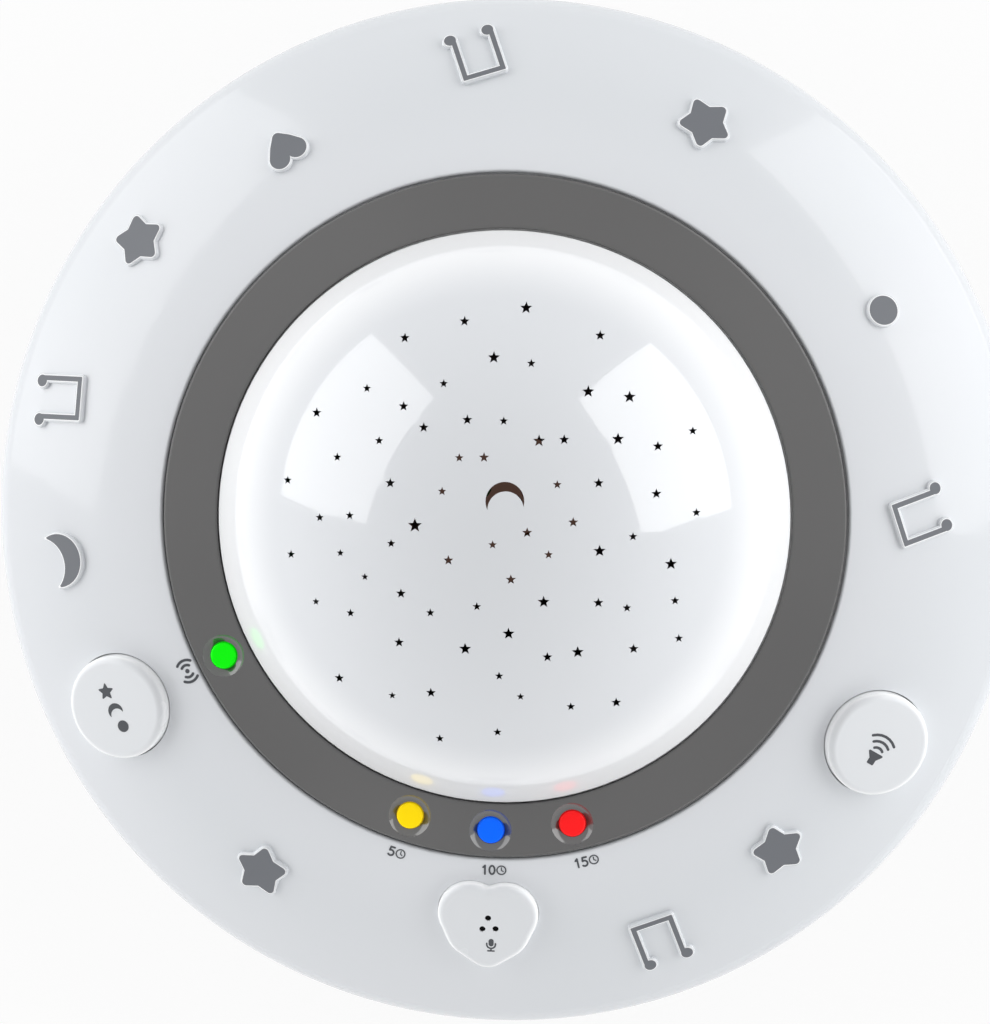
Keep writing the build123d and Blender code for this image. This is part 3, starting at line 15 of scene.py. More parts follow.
import bmesh
import bpy
from bmesh.types import BMesh, BMVert
from bpy.types import Material, Object
from mathutils import Matrix, Vector
from mathutils.geometry import delaunay_2d_cdt
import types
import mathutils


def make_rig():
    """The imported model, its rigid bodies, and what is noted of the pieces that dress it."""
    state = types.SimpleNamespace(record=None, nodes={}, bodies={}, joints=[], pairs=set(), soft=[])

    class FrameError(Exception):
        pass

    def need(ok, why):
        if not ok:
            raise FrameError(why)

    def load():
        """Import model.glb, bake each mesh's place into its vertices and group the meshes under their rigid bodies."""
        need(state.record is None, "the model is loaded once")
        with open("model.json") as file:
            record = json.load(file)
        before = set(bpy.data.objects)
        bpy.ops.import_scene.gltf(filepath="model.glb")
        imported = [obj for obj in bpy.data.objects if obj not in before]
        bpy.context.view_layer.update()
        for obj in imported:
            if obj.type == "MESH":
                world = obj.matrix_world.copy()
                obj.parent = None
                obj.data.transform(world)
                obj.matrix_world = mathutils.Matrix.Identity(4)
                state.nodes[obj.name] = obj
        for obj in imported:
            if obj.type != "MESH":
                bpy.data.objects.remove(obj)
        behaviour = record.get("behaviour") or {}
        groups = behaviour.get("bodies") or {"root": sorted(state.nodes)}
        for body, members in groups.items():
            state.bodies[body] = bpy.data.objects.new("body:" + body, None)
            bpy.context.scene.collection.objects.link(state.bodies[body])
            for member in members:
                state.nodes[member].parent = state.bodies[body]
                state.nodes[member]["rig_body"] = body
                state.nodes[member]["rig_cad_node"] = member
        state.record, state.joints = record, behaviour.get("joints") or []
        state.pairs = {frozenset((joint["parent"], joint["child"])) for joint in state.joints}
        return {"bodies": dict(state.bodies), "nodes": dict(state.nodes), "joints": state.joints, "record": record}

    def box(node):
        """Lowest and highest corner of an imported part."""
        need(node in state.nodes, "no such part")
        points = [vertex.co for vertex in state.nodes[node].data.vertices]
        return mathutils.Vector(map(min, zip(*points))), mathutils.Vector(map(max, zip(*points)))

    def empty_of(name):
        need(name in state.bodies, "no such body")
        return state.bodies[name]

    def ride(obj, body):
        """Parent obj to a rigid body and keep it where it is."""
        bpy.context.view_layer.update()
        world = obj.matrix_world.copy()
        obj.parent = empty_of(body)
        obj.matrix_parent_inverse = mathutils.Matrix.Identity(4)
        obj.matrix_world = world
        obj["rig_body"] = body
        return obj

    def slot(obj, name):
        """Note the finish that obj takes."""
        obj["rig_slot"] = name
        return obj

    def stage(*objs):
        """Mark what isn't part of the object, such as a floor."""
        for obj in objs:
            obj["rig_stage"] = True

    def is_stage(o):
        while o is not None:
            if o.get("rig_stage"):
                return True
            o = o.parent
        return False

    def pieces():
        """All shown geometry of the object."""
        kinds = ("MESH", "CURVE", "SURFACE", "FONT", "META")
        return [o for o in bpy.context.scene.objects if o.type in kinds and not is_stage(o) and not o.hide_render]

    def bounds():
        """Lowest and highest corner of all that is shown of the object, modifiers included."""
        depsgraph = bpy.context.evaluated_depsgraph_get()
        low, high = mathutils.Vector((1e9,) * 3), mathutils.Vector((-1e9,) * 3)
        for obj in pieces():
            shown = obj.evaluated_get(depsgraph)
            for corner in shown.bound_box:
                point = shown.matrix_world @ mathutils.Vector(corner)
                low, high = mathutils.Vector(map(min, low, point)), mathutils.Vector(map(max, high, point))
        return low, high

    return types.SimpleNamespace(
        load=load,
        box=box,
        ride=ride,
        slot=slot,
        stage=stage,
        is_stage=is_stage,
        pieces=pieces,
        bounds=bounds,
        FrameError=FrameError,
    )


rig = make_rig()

LOG = logging.getLogger("night_light")
MM = 0.001
SIZE_FILE = "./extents.json"
Colour = tuple[float, float, float]
Pair = tuple[float, float]
Loop = list[Vector]
Loops = list[Loop]
MIDDLE = (0.3, 0.7)  # the part of a noise's range that is stretched to run from 0 to 1
WHITE: Colour = (1.0, 1.0, 1.0)
DIRECT_RAYS = ("Is Camera Ray", "Is Glossy Ray", "Is Transmission Ray")
STAR_SIDE = 3.22  # from a raised star's middle to its sides, in millimetres
# x, y and radius, in millimetres, of a heart's lobe, its full side and its tip
HEART_DISCS = ((1.95, 1.5, 2.05), (0.98, -0.5, 1.7), (0.0, -2.5, 1.05))


# ---- shader maths


class Wire:
    """One output socket of a shader, with arithmetic that adds Math nodes."""

    def __init__(self, shader: "Shader", source: Any) -> None:
        """Keeps the shader that new nodes go to and the output socket that this wire reads."""
        self.shader = shader
        self.source = source

    def _math(self, operation: str, *values: Any) -> "Wire":
        """The output of a new Math node with these inputs, each a wire or a number."""
        return self.shader.add("Math", dict(enumerate(values)), operation=operation)

    def __add__(self, other: Any) -> "Wire":
        """Sum."""
        return self._math("ADD", self, other)

    __radd__ = __add__

    def __rsub__(self, other: Any) -> "Wire":
        """Difference with the number first."""
        return self._math("SUBTRACT", other, self)

    def __mul__(self, other: Any) -> "Wire":
        """Product."""
        return self._math("MULTIPLY", self, other)

    __rmul__ = __mul__

    def __truediv__(self, other: Any) -> "Wire":
        """Quotient."""
        return self._math("DIVIDE", self, other)

    def __pow__(self, other: Any) -> "Wire":
        """Power."""
        return self._math("POWER", self, other)

    def above(self, edge: float) -> "Wire":
        """1 where the value is over an edge, 0 elsewhere."""
        return self._math("GREATER_THAN", self, edge)

    def most(self, other: Any) -> "Wire":
        """The larger of two values."""
        return self._math("MAXIMUM", self, other)

    def cycles(self) -> "Wire":
        """The part after the decimal point."""
        return self._math("FRACT", self)

    def ramp(self, low: float, high: float, out_low: float = 0.0, out_high: float = 1.0) -> "Wire":
        """A smooth step from out_low, where the value is low, to out_high, where it is high."""
        limits = {0: self, 1: low, 2: high, 3: out_low, 4: out_high}
        return self.shader.add("MapRange", limits, interpolation_type="SMOOTHSTEP")


class Shader:
    """A material's or the world's node tree, with its nodes made from one method."""

    def __init__(self, owner: Any) -> None:
        """Empties the node tree of a material or a world.

        Args:
            owner: The material or world.
        """
        owner.use_nodes = True
        self.tree = owner.node_tree
        self.tree.nodes.clear()

    def node(self, kind: str, inputs: dict[Any, Any] | None = None, **settings: Any) -> bpy.types.Node:
        """Adds a node.

        Args:
            kind: Its type, without the ShaderNode in front.
            inputs: Socket names or numbers, with the wires, numbers or colours that they get.
            settings: Its properties, set before the inputs.

        Returns:
            The node.
        """
        node = self.tree.nodes.new(f"ShaderNode{kind}")
        for name, value in settings.items():
            setattr(node, name, value)
        for name, value in (inputs or {}).items():
            socket = node.inputs[name]
            if isinstance(value, Wire):
                self.tree.links.new(value.source, socket)
            elif socket.type == "RGBA":
                socket.default_value = (*value, 1.0)
            else:
                socket.default_value = value
        return node

    def add(self, kind: str, inputs: dict[Any, Any], **settings: Any) -> Wire:
        """The first shown output of a new node, which is described as for node()."""
        node = self.node(kind, inputs, **settings)
        return Wire(self, next(socket for socket in node.outputs if socket.enabled))

    def mix(self, share: Any, first: Any, second: Any) -> Wire:
        """Blends two colours by the share of the second one that shows."""
        return self.add("Mix", {0: share, 6: first, 7: second}, data_type="RGBA")

    def place(self, output: str = "Object") -> Wire:
        """The point on the object, in metres, or what else the coordinates give."""
        return Wire(self, self.node("TexCoord").outputs[output])

    def axes(self, output: str = "Object") -> tuple[Wire, ...]:
        """The x, y and z of what place() gives."""
        return tuple(Wire(self, socket) for socket in self.node("SeparateXYZ", {0: self.place(output)}).outputs)

    def noise(self, size: float, detail: float = 2.0, rough: float = 0.5) -> Wire:
        """Smooth noise from 0 to 1, its largest features size metres wide, with finer octaves as strong as rough."""
        inputs = {"Vector": self.place(), "Scale": 1.0 / size, "Detail": detail, "Roughness": rough}
        return self.add("TexNoise", inputs)

    def bump(self, height: Wire, depth: float, normal: Wire | None = None) -> Wire:
        """Bends a normal by a height from 0 to 1 that is depth metres in full."""
        inputs = {"Strength": 1.0, "Distance": depth, "Height": height}
        return self.add("Bump", inputs | ({"Normal": normal} if normal else {}))

    def seen(self) -> Wire:
        """1 where the camera, a reflection or a clear part looks at the surface, 0 where it only gives light."""
        camera, glossy, clear = (Wire(self, self.node("LightPath").outputs[name]) for name in DIRECT_RAYS)
        return camera.most(glossy).most(clear)

    def finish(self, surface: Wire, kind: str = "Material") -> None:
        """Ends the tree in the output node of a material or the world."""
        self.node(f"Output{kind}", {"Surface": surface})


# ---- finishes


@dataclass(frozen=True)
class Recipe:
    """A kind of surface. Each kind says what its shader gets."""

    name: str

    def inputs(self, shader: Shader) -> dict[str, Any]:
        """What the surface's shader gets, by socket."""
        raise NotImplementedError

    def build(self) -> Material:
        """Makes the material.

        Returns:
            The material.
        """
        material = bpy.data.materials.new(self.name)
        shader = Shader(material)
        shader.finish(shader.add("BsdfPrincipled", self.inputs(shader)))
        return material


@dataclass(frozen=True)
class Plastic(Recipe):
    """Injection-moulded plastic, from mirror gloss to satin.

    The tint drifts slowly over the part, the skin has a faint ripple from the mould and a fine grain, and the gloss is
    duller where it has been handled. The colour may turn to another one with the distance from the lamp's axis, and
    where the surface leans over at an edge; these two turns are painted light and painted highlights, not the
    plastic's own colour.
    """

    colour: Colour
    tint: Colour
    roughness: float = 0.2
    handled: float = 0.06
    ripple: float = 0.0
    ripple_size: float = 0.012
    grain: float = 4e-6
    grain_size: float = 0.0006
    drift_size: float = 0.06
    smear_size: float = 0.02
    smear_span: Pair = (0.35, 0.7)
    coat: float = 0.0
    gloss: float = 0.5
    index: float = 1.49
    coat_index: float = 1.5
    coat_roughness: float = 0.03
    glow: float = 0.0
    # Painted light: a colour that the plastic turns to over a span of plan radius.
    rim_painted_light: Colour | None = None
    rim: Pair = (42.0 * MM, 56.0 * MM)
    # Painted highlight: a colour that the plastic turns to where its normal leans over.
    edge_painted_highlight: Colour | None = None
    edge: Pair = (0.9, 0.4)

    def inputs(self, shader: Shader) -> dict[str, Any]:
        """What the plastic's shader gets.

        Args:
            shader: Its node tree.

        Returns:
            The inputs by socket.
        """
        normal = shader.bump(shader.noise(self.grain_size, 2.0, 0.6), self.grain)
        if self.ripple:
            normal = shader.bump(shader.noise(self.ripple_size, 0.0), self.ripple, normal)
        colour = shader.mix(shader.noise(self.drift_size, 1.0).ramp(*MIDDLE), self.colour, self.tint)
        # Painted light: the colour turns with the plan radius.
        if self.rim_painted_light:
            x, y, _ = shader.axes()
            colour = shader.mix(((x * x + y * y) ** 0.5).ramp(*self.rim), colour, self.rim_painted_light)
        # Painted highlight: the colour turns where the surface leans over at an edge.
        if self.edge_painted_highlight:
            _, _, upright = shader.axes("Normal")
            colour = shader.mix(upright.ramp(*self.edge), colour, self.edge_painted_highlight)
        smears = shader.noise(self.smear_size, 3.0, 0.6)
        glow = {"Emission Color": self.colour, "Emission Strength": self.glow} if self.glow else {}
        return glow | {
            "Base Color": colour,
            "Roughness": smears.ramp(*self.smear_span, self.roughness, self.roughness + self.handled),
            "IOR": self.index,
            "Specular IOR Level": self.gloss,
            "Coat Weight": self.coat,
            "Coat Roughness": self.coat_roughness,
            "Coat IOR": self.coat_index,
            "Normal": normal,
        }


@dataclass(frozen=True)
class Metal(Recipe):
    """Bare or plated metal with fine marks from drawing or turning."""

    colour: Colour
    roughness: float = 0.3
    marks: float = 6e-6
    marks_size: float = 0.0004
    cloud_size: float = 0.004
    dull: float = 0.8
    worn: float = 0.12
    metallic: float = 1.0

    def inputs(self, shader: Shader) -> dict[str, Any]:
        """What the metal's shader gets.

        Args:
            shader: Its node tree.

        Returns:
            The inputs by socket.
        """
        cloud = shader.noise(self.cloud_size, 3.0, 0.6)
        return {
            "Base Color": shader.mix(cloud.ramp(*MIDDLE), self.colour, tuple(self.dull * part for part in self.colour)),
            "Metallic": self.metallic,
            "Roughness": cloud.ramp(*MIDDLE, self.roughness, self.roughness + self.worn),
            "Normal": shader.bump(shader.noise(self.marks_size, 3.0, 0.7), self.marks),
        }


@dataclass(frozen=True)
class SolderMask(Recipe):
    """A circuit board: green mask over copper tracks that run on a small grid."""

    mask: Colour
    copper: Colour
    pitch: float = 0.0025
    gap: float = 0.62
    patch_size: float = 0.009
    shine_size: float = 0.002
    roughness: Pair = (0.28, 0.4)
    relief: float = 3e-5

    def inputs(self, shader: Shader) -> dict[str, Any]:
        """What the board's shader gets.

        Args:
            shader: Its node tree.

        Returns:
            The inputs by socket.
        """
        x, y, _ = shader.axes()
        crosswise = shader.noise(self.patch_size, 1.0).above(0.5)
        rows = (y / self.pitch).cycles().above(self.gap) * crosswise
        columns = (x / self.pitch).cycles().above(self.gap) * (1.0 - crosswise)
        track = rows.most(columns)
        return {
            "Base Color": shader.mix(track, self.mask, self.copper),
            "Roughness": shader.noise(self.shine_size).ramp(*MIDDLE, *self.roughness),
            "Normal": shader.bump(track, self.relief),
        }


@dataclass(frozen=True)
class CellSleeve(Recipe):
    """The printed sleeve of a dry cell: a dark body with a coloured band at one end and bare steel ends."""

    dark: Colour
    band: Colour
    steel: Colour
    half_length: float
    band_start: float
    scuff_size: float = 0.001
    roughness: Pair = (0.22, 0.36)

    def inputs(self, shader: Shader) -> dict[str, Any]:
        """What the sleeve's shader gets.

        Args:
            shader: Its node tree.

        Returns:
            The inputs by socket.
        """
        x, _, _ = shader.axes()
        end = x.most(x * -1.0).above(self.half_length)
        scuffs = shader.noise(self.scuff_size, 4.0, 0.7)
        sleeve = shader.mix(x.above(self.band_start), self.dark, self.band)
        return {
            "Base Color": shader.mix(end, sleeve, self.steel),
            "Metallic": end,
            "Roughness": scuffs.ramp(*MIDDLE, *self.roughness),
            "Normal": shader.bump(scuffs, 1e-5),
        }


class Finish(Enum):
    """Every finish on the lamp."""

    # The shell turns lighter towards the ring: painted light that lifts the shade beside the ring.
    SHELL = Plastic(
        "shell_white", (0.728, 0.748, 0.778), (0.708, 0.733, 0.763), 0.16, 0.05, 2e-5,
        coat=0.6, rim_painted_light=(0.755, 0.775, 0.807), rim=(84.0 * MM, 66.0 * MM),
    )
    # The dome turns near white towards its edge: a painted reflection of the bright surroundings on its steep edge.
    DOME = Plastic(
        "dome_white", (0.68, 0.70, 0.73), (0.67, 0.69, 0.72), 0.12, 0.05, 1.5e-5,
        coat=1.0, coat_index=1.75, rim_painted_light=(0.95, 0.96, 0.975),
    )
    # The rims of the buttons and the microphone heart turn near white where they lean over: a painted highlight.
    BUTTON = Plastic(
        "button_white", (0.765, 0.785, 0.81), (0.75, 0.77, 0.795), 0.22, 0.06, 1e-5,
        coat=0.4, edge_painted_highlight=(0.95, 0.96, 0.97),
    )
    RING = Plastic("ring_grey", (0.128, 0.127, 0.127), (0.114, 0.113, 0.113), 0.36, 0.08, grain=9e-6)
    # The cups are darker than the ring that they line: painted shade in the key dishes; their gloss is the dishes' real
    # polish.
    SHADED_CUP = Plastic("cup_grey", (0.06, 0.059, 0.059), (0.052,) * 3, 0.2, 0.05, grain=2e-6, coat=1.0, coat_index=1.8)
    KEY_GREEN = Plastic("key_green", (0.0, 0.98, 0.0), (0.0, 0.94, 0.0), 0.3, grain=2e-6, gloss=0.2, glow=0.2)
    KEY_YELLOW = Plastic("key_yellow", (1.0, 0.72, 0.0), (0.97, 0.69, 0.0), 0.3, grain=2e-6, gloss=0.2, glow=0.2)
    KEY_BLUE = Plastic("key_blue", (0.0, 0.14, 1.0), (0.0, 0.125, 0.96), 0.3, grain=2e-6, gloss=0.2, glow=0.25)
    KEY_RED = Plastic("key_red", (1.0, 0.012, 0.014), (0.96, 0.01, 0.012), 0.3, grain=2e-6, gloss=0.2, glow=0.2)
    BLACK = Plastic("black_plastic", (0.03, 0.03, 0.032), (0.022, 0.022, 0.024), 0.42, grain=1e-5)
    STAND = Plastic("stand_white", (0.72, 0.72, 0.70), (0.68, 0.68, 0.66), 0.4, grain=1e-5)
    RUBBER = Plastic("foot_rubber", (0.03, 0.03, 0.03), (0.045, 0.045, 0.045), 0.7, 0.15, grain=3e-5, gloss=0.25)
    PAPER = Plastic("cone_paper", (0.04, 0.038, 0.035), (0.055, 0.052, 0.047), 0.85, 0.1, grain=5e-5, gloss=0.1)
    FERRITE = Plastic("ferrite", (0.05, 0.05, 0.052), (0.07, 0.068, 0.066), 0.6, 0.15, grain=4e-5)
    LAMP_RED = Plastic("lamp_red", (0.8, 0.05, 0.04), (0.7, 0.04, 0.03), 0.08, coat=0.5)
    LAMP_GREEN = Plastic("lamp_green", (0.05, 0.65, 0.1), (0.04, 0.55, 0.08), 0.08, coat=0.5)
    LAMP_BLUE = Plastic("lamp_blue", (0.04, 0.12, 0.8), (0.03, 0.1, 0.7), 0.08, coat=0.5)
    LAMP_AMBER = Plastic("lamp_amber", (0.9, 0.45, 0.05), (0.8, 0.4, 0.04), 0.08, coat=0.5)
    # The lamp board glows faintly though it is no lamp: painted light, so that the inside of the dome shows brown
    # through the star holes.
    PHENOLIC = Plastic("phenolic_board", (0.30, 0.17, 0.13), (0.25, 0.135, 0.10), 0.5, grain=1e-5, glow=0.2)
    # Also the black discs just inside the heart's sound holes, which are painted shade.
    FELT = Plastic("felt_black", (0.006, 0.006, 0.006), (0.004, 0.004, 0.004), 0.9, grain=4e-5, gloss=0.1)
    # A white outline round each raised picture: a painted highlight, lighter than the shell that it lies on.
    OUTLINE_HIGHLIGHT = Plastic("border_ink", (0.93, 0.935, 0.95), (0.91, 0.92, 0.935), 0.3, grain=2e-6)
    PICTURE_INK = Plastic("picture_ink", (0.18, 0.19, 0.208), (0.165, 0.174, 0.192), 0.42, grain=3e-6, gloss=0.3)
    LABEL_INK = Plastic("label_ink", (0.085, 0.09, 0.1), (0.075, 0.08, 0.09), 0.5, grain=3e-6, gloss=0.3)
    STEEL = Metal("zinc_steel", (0.66, 0.67, 0.68), 0.28)
    CAN = Metal("drawn_can", (0.72, 0.73, 0.75), 0.25)
    BASKET = Metal("black_basket", (0.05, 0.05, 0.055), 0.45, metallic=0.3)
    # Dark crosses laid on the steel screw heads: painted shade for their cross recesses.
    RECESS_SHADE = Metal("screw_recess_shade", (0.12, 0.12, 0.125), 0.5)
    BOARD = SolderMask("solder_mask", (0.015, 0.14, 0.05), (0.04, 0.22, 0.09))
    CELL = CellSleeve("cell_sleeve", (0.02, 0.02, 0.024), (0.55, 0.32, 0.05), (0.7, 0.7, 0.7), 24.4 * MM, 12.0 * MM)

    @cache
    def material(self) -> Material:
        """The finish's material, made once."""
        return self.value.build()


NODE_FINISHES: dict[Finish, tuple[str, ...]] = {
    Finish.SHELL: ("upper_housing", "lower_housing", "battery_door"),
    Finish.DOME: ("dome",),
    Finish.BUTTON: ("mic_cover", "mode_button", "volume_button"),
    Finish.RING: ("bezel_ring",),
    Finish.KEY_GREEN: ("vox_button",),
    Finish.KEY_YELLOW: ("timer_5_button",),
    Finish.KEY_BLUE: ("timer_10_button",),
    Finish.KEY_RED: ("timer_15_button",),
    Finish.BLACK: (
        "mode_plunger", "volume_plunger", "vox_plunger", "timer_5_plunger", "timer_10_plunger", "timer_15_plunger",
        "mode_switch", "volume_switch", "key_switches", "sound_chip", "power_switch_knob", "power_switch_body",
    ),
    Finish.BOARD: ("mode_board", "volume_board", "key_board", "main_board"),
    Finish.PHENOLIC: ("lamp_board",),
    Finish.CAN: ("capacitor", "microphone"),
    Finish.RUBBER: ("mic_boot", "rubber_feet"),
    Finish.CELL: ("battery_cells",),
    Finish.STEEL: (
        "battery_springs", "battery_contacts", "door_screws", "housing_screws", "board_screws", "ring_screws",
        "speaker_screws",
    ),
    Finish.BASKET: ("speaker_frame",),
    Finish.PAPER: ("speaker_cone",),
    Finish.FERRITE: ("speaker_magnet",),
    Finish.STAND: ("lamp_stand",),
    Finish.LAMP_RED: ("red_lamp",),
    Finish.LAMP_GREEN: ("green_lamp",),
    Finish.LAMP_BLUE: ("blue_lamp",),
    Finish.LAMP_AMBER: ("amber_lamp",),
}


def coat(thing: Object, finish: Finish) -> None:
    """Gives a whole object one finish."""
    thing.data.materials.clear()
    thing.data.materials.append(finish.material())


def coat_nodes(nodes: dict[str, Object]) -> None:
    """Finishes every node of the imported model.

    Args:
        nodes: The nodes by name.
    """
    finishes = {name: finish for finish, names in NODE_FINISHES.items() for name in names}
    for name, node in nodes.items():
        coat(node, finishes[name])
    LOG.info("finished %d nodes", len(nodes))


# ---- flat outlines


def plain(x: float, y: float) -> Vector:
    """A plan point."""
    return Vector((x, y))


def trail(*numbers: float) -> Loop:
    """Plan points from the x and y of each in turn."""
    return [plain(*pair) for pair in zip(numbers[::2], numbers[1::2])]


def polar(radius: float, angle: float) -> Vector:
    """The plan point at a distance and an angle in degrees."""
    return plain(radius * math.cos(math.radians(angle)), radius * math.sin(math.radians(angle)))


def heading_of(span: Vector) -> float:
    """The direction of a plan vector, in degrees."""
    return math.degrees(math.atan2(span.y, span.x))


def arc(centre: Vector, radius: float, start: float, sweep: float, step: float = 6.0) -> Loop:
    """Points along an arc from a first angle, both ends included, that turn by at most step degrees at a time."""
    count = max(2, math.ceil(abs(sweep) / step))
    return [centre + polar(radius, start + sweep * k / count) for k in range(count + 1)]


def disc(centre: Vector, radius: float, across: float | None = None) -> Loop:
    """A closed circle, or an ellipse that is as wide as across says."""
    wide = across or radius
    return [centre + plain(point.x * wide, point.y * radius) for point in arc(plain(0, 0), 1.0, 0, 360)[:-1]]


def bar(start: Vector, end: Vector, width: float) -> Loop:
    """A straight line with round ends."""
    turn = heading_of(end - start)
    return arc(end, width / 2, turn - 90, 180, 20) + arc(start, width / 2, turn + 90, 180, 20)


def stroke(points: Loop, width: float) -> Loops:
    """A line with corners, as one overlapping bar for each of its runs."""
    return [bar(start, end, width) for start, end in zip(points, points[1:])]


def rounded_corners(points: Loop, rounds: list[float]) -> Loop:
    """Rounds each corner of a closed outline.

    Args:
        points: The corners, anticlockwise.
        rounds: The radius at each corner, 0 for a sharp one.

    Returns:
        The rounded outline.
    """
    loop: Loop = []
    for index, (corner, radius) in enumerate(zip(points, rounds)):
        if radius <= 0:
            loop.append(corner)
            continue
        before = (points[index - 1] - corner).normalized()
        after = (points[(index + 1) % len(points)] - corner).normalized()
        half = before.angle(after) / 2
        centre = corner + (before + after).normalized() * (radius / math.sin(half))
        start, end = (heading_of(corner + side * (radius / math.tan(half)) - centre) for side in (before, after))
        loop += arc(centre, radius, start, (end - start + 180) % 360 - 180, 15)
    return loop


def star(tip: float, valley: float, tip_round: float = 0.0) -> Loops:
    """A five-pointed star with one tip up, by the radius of its tips before they are rounded and of its valleys."""
    points = [polar((tip, valley)[k % 2], 90 + 36 * k) for k in range(10)]
    return [rounded_corners(points, [tip_round, 0.0] * 5)]


def crescent(outer: float, inner: float, shift: float, tip_round: float = 0.0) -> Loops:
    """A crescent with its back up, about the middle of its outer circle.

    Args:
        outer: Radius of its back.
        inner: Radius of its hollow.
        shift: How far down the hollow's circle lies.
        tip_round: How much each horn is cut short.

    Returns:
        One closed loop.
    """
    level = (outer**2 - inner**2 + shift**2) / (2 * shift)
    reach = math.sqrt(outer**2 - level**2)
    first = heading_of(plain(reach, -level)) + math.degrees(tip_round / outer)
    turn = heading_of(plain(reach, shift - level)) + math.degrees(tip_round / inner)
    back = arc(plain(0, 0), outer, first, 180 - 2 * first)
    return [back + arc(plain(0, -shift), inner, 180 - turn, 2 * turn - 180)]


def tapered_slot(start: Vector, start_radius: float, end: Vector, end_radius: float) -> Loop:
    """The outline round two discs and the band between them.

    Args:
        start: The first disc's centre.
        start_radius: Its radius.
        end: The other disc's centre.
        end_radius: Its radius.

    Returns:
        The outline, anticlockwise.
    """
    turn = heading_of(end - start)
    spread = math.degrees(math.acos((start_radius - end_radius) / (end - start).length))
    return arc(start, start_radius, turn + spread, 360 - 2 * spread) + arc(end, end_radius, turn - spread, 2 * spread)


def heart(margin: float) -> Loops:
    """A heart with full sides and its notch up.

    Args:
        margin: How far outside the ink it runs.

    Returns:
        Four overlapping loops.
    """
    loops = []
    for side in (-1, 1):
        discs = [(plain(side * x, y), radius + margin) for x, y, radius in HEART_DISCS]
        loops += [tapered_slot(*start, *end) for start, end in zip(discs, discs[1:])]
    return loops


def note(margin: float) -> Loops:
    """Two beamed quavers with the beam up.

    Args:
        margin: How far outside the ink it runs.

    Returns:
        Overlapping closed loops.
    """
    spacing, stem, head_shift, half, corner = 7.55, 9.0, 0.58, 0.475 + margin, 0.15 + margin
    middle = plain((spacing + head_shift) / 2, stem / 2)
    loops = []
    for x in (0.0, spacing):
        loops.append(box(plain(x - half, 0) - middle, plain(x + half, stem - corner) - middle))
        loops.append(disc(plain(x + head_shift, 0) - middle, 1.1 + margin, 1.15 + margin))
    beam = box(plain(-half, stem - half) - middle, plain(spacing + half, stem + half) - middle)
    return [*loops, rounded_corners(beam, [0.0, 0.0, corner, corner])]


def box(low: Vector, high: Vector) -> Loop:
    """An upright rectangle."""
    return [low.copy(), plain(high.x, low.y), high.copy(), plain(low.x, high.y)]


def moved(loops: Loops, shift: Vector) -> Loops:
    """Shifted copies of loops."""
    return [[point + shift for point in loop] for loop in loops]


# ---- printed marks


def printed(loops: Loops, thickness: float, scale: float = 1.0) -> BMesh:
    """Joins overlapping loops into one thin closed plate of ink.

    Args:
        loops: Closed outlines.
        thickness: The plate's thickness.
        scale: How much larger the outlines are printed.

    Returns:
        A mesh with its underside at height 0.
    """
    points: Loop = []
    faces: list[list[int]] = []
    for loop in loops:
        faces.append(list(range(len(points), len(points) + len(loop))))
        points += [point * scale for point in loop]
    corners, _, triangles, _, _, sources = delaunay_2d_cdt(points, [], faces, 1, 1e-9)
    mesh = bmesh.new()
    vertices = [mesh.verts.new((point.x, point.y, 0.0)) for point in corners]
    for triangle, covered in zip(triangles, sources):
        if covered:
            mesh.faces.new([vertices[index] for index in triangle])
    bmesh.ops.delete(mesh, geom=[vertex for vertex in mesh.verts if not vertex.link_faces], context="VERTS")
    bmesh.ops.recalc_face_normals(mesh, faces=mesh.faces)
    sheet = bmesh.ops.extrude_face_region(mesh, geom=list(mesh.faces), use_keep_orig=True)
    raised = [item for item in sheet["geom"] if isinstance(item, BMVert)]
    bmesh.ops.translate(mesh, verts=raised, vec=(0, 0, thickness))
    bmesh.ops.recalc_face_normals(mesh, faces=mesh.faces)
    return mesh


def placed(name: str, data: Any) -> Object:
    """Links a new object to the scene.

    Args:
        name: Its name.
        data: Its mesh, light or camera.

    Returns:
        The object.
    """
    thing = bpy.data.objects.new(name, data)
    bpy.context.scene.collection.objects.link(thing)
    return thing


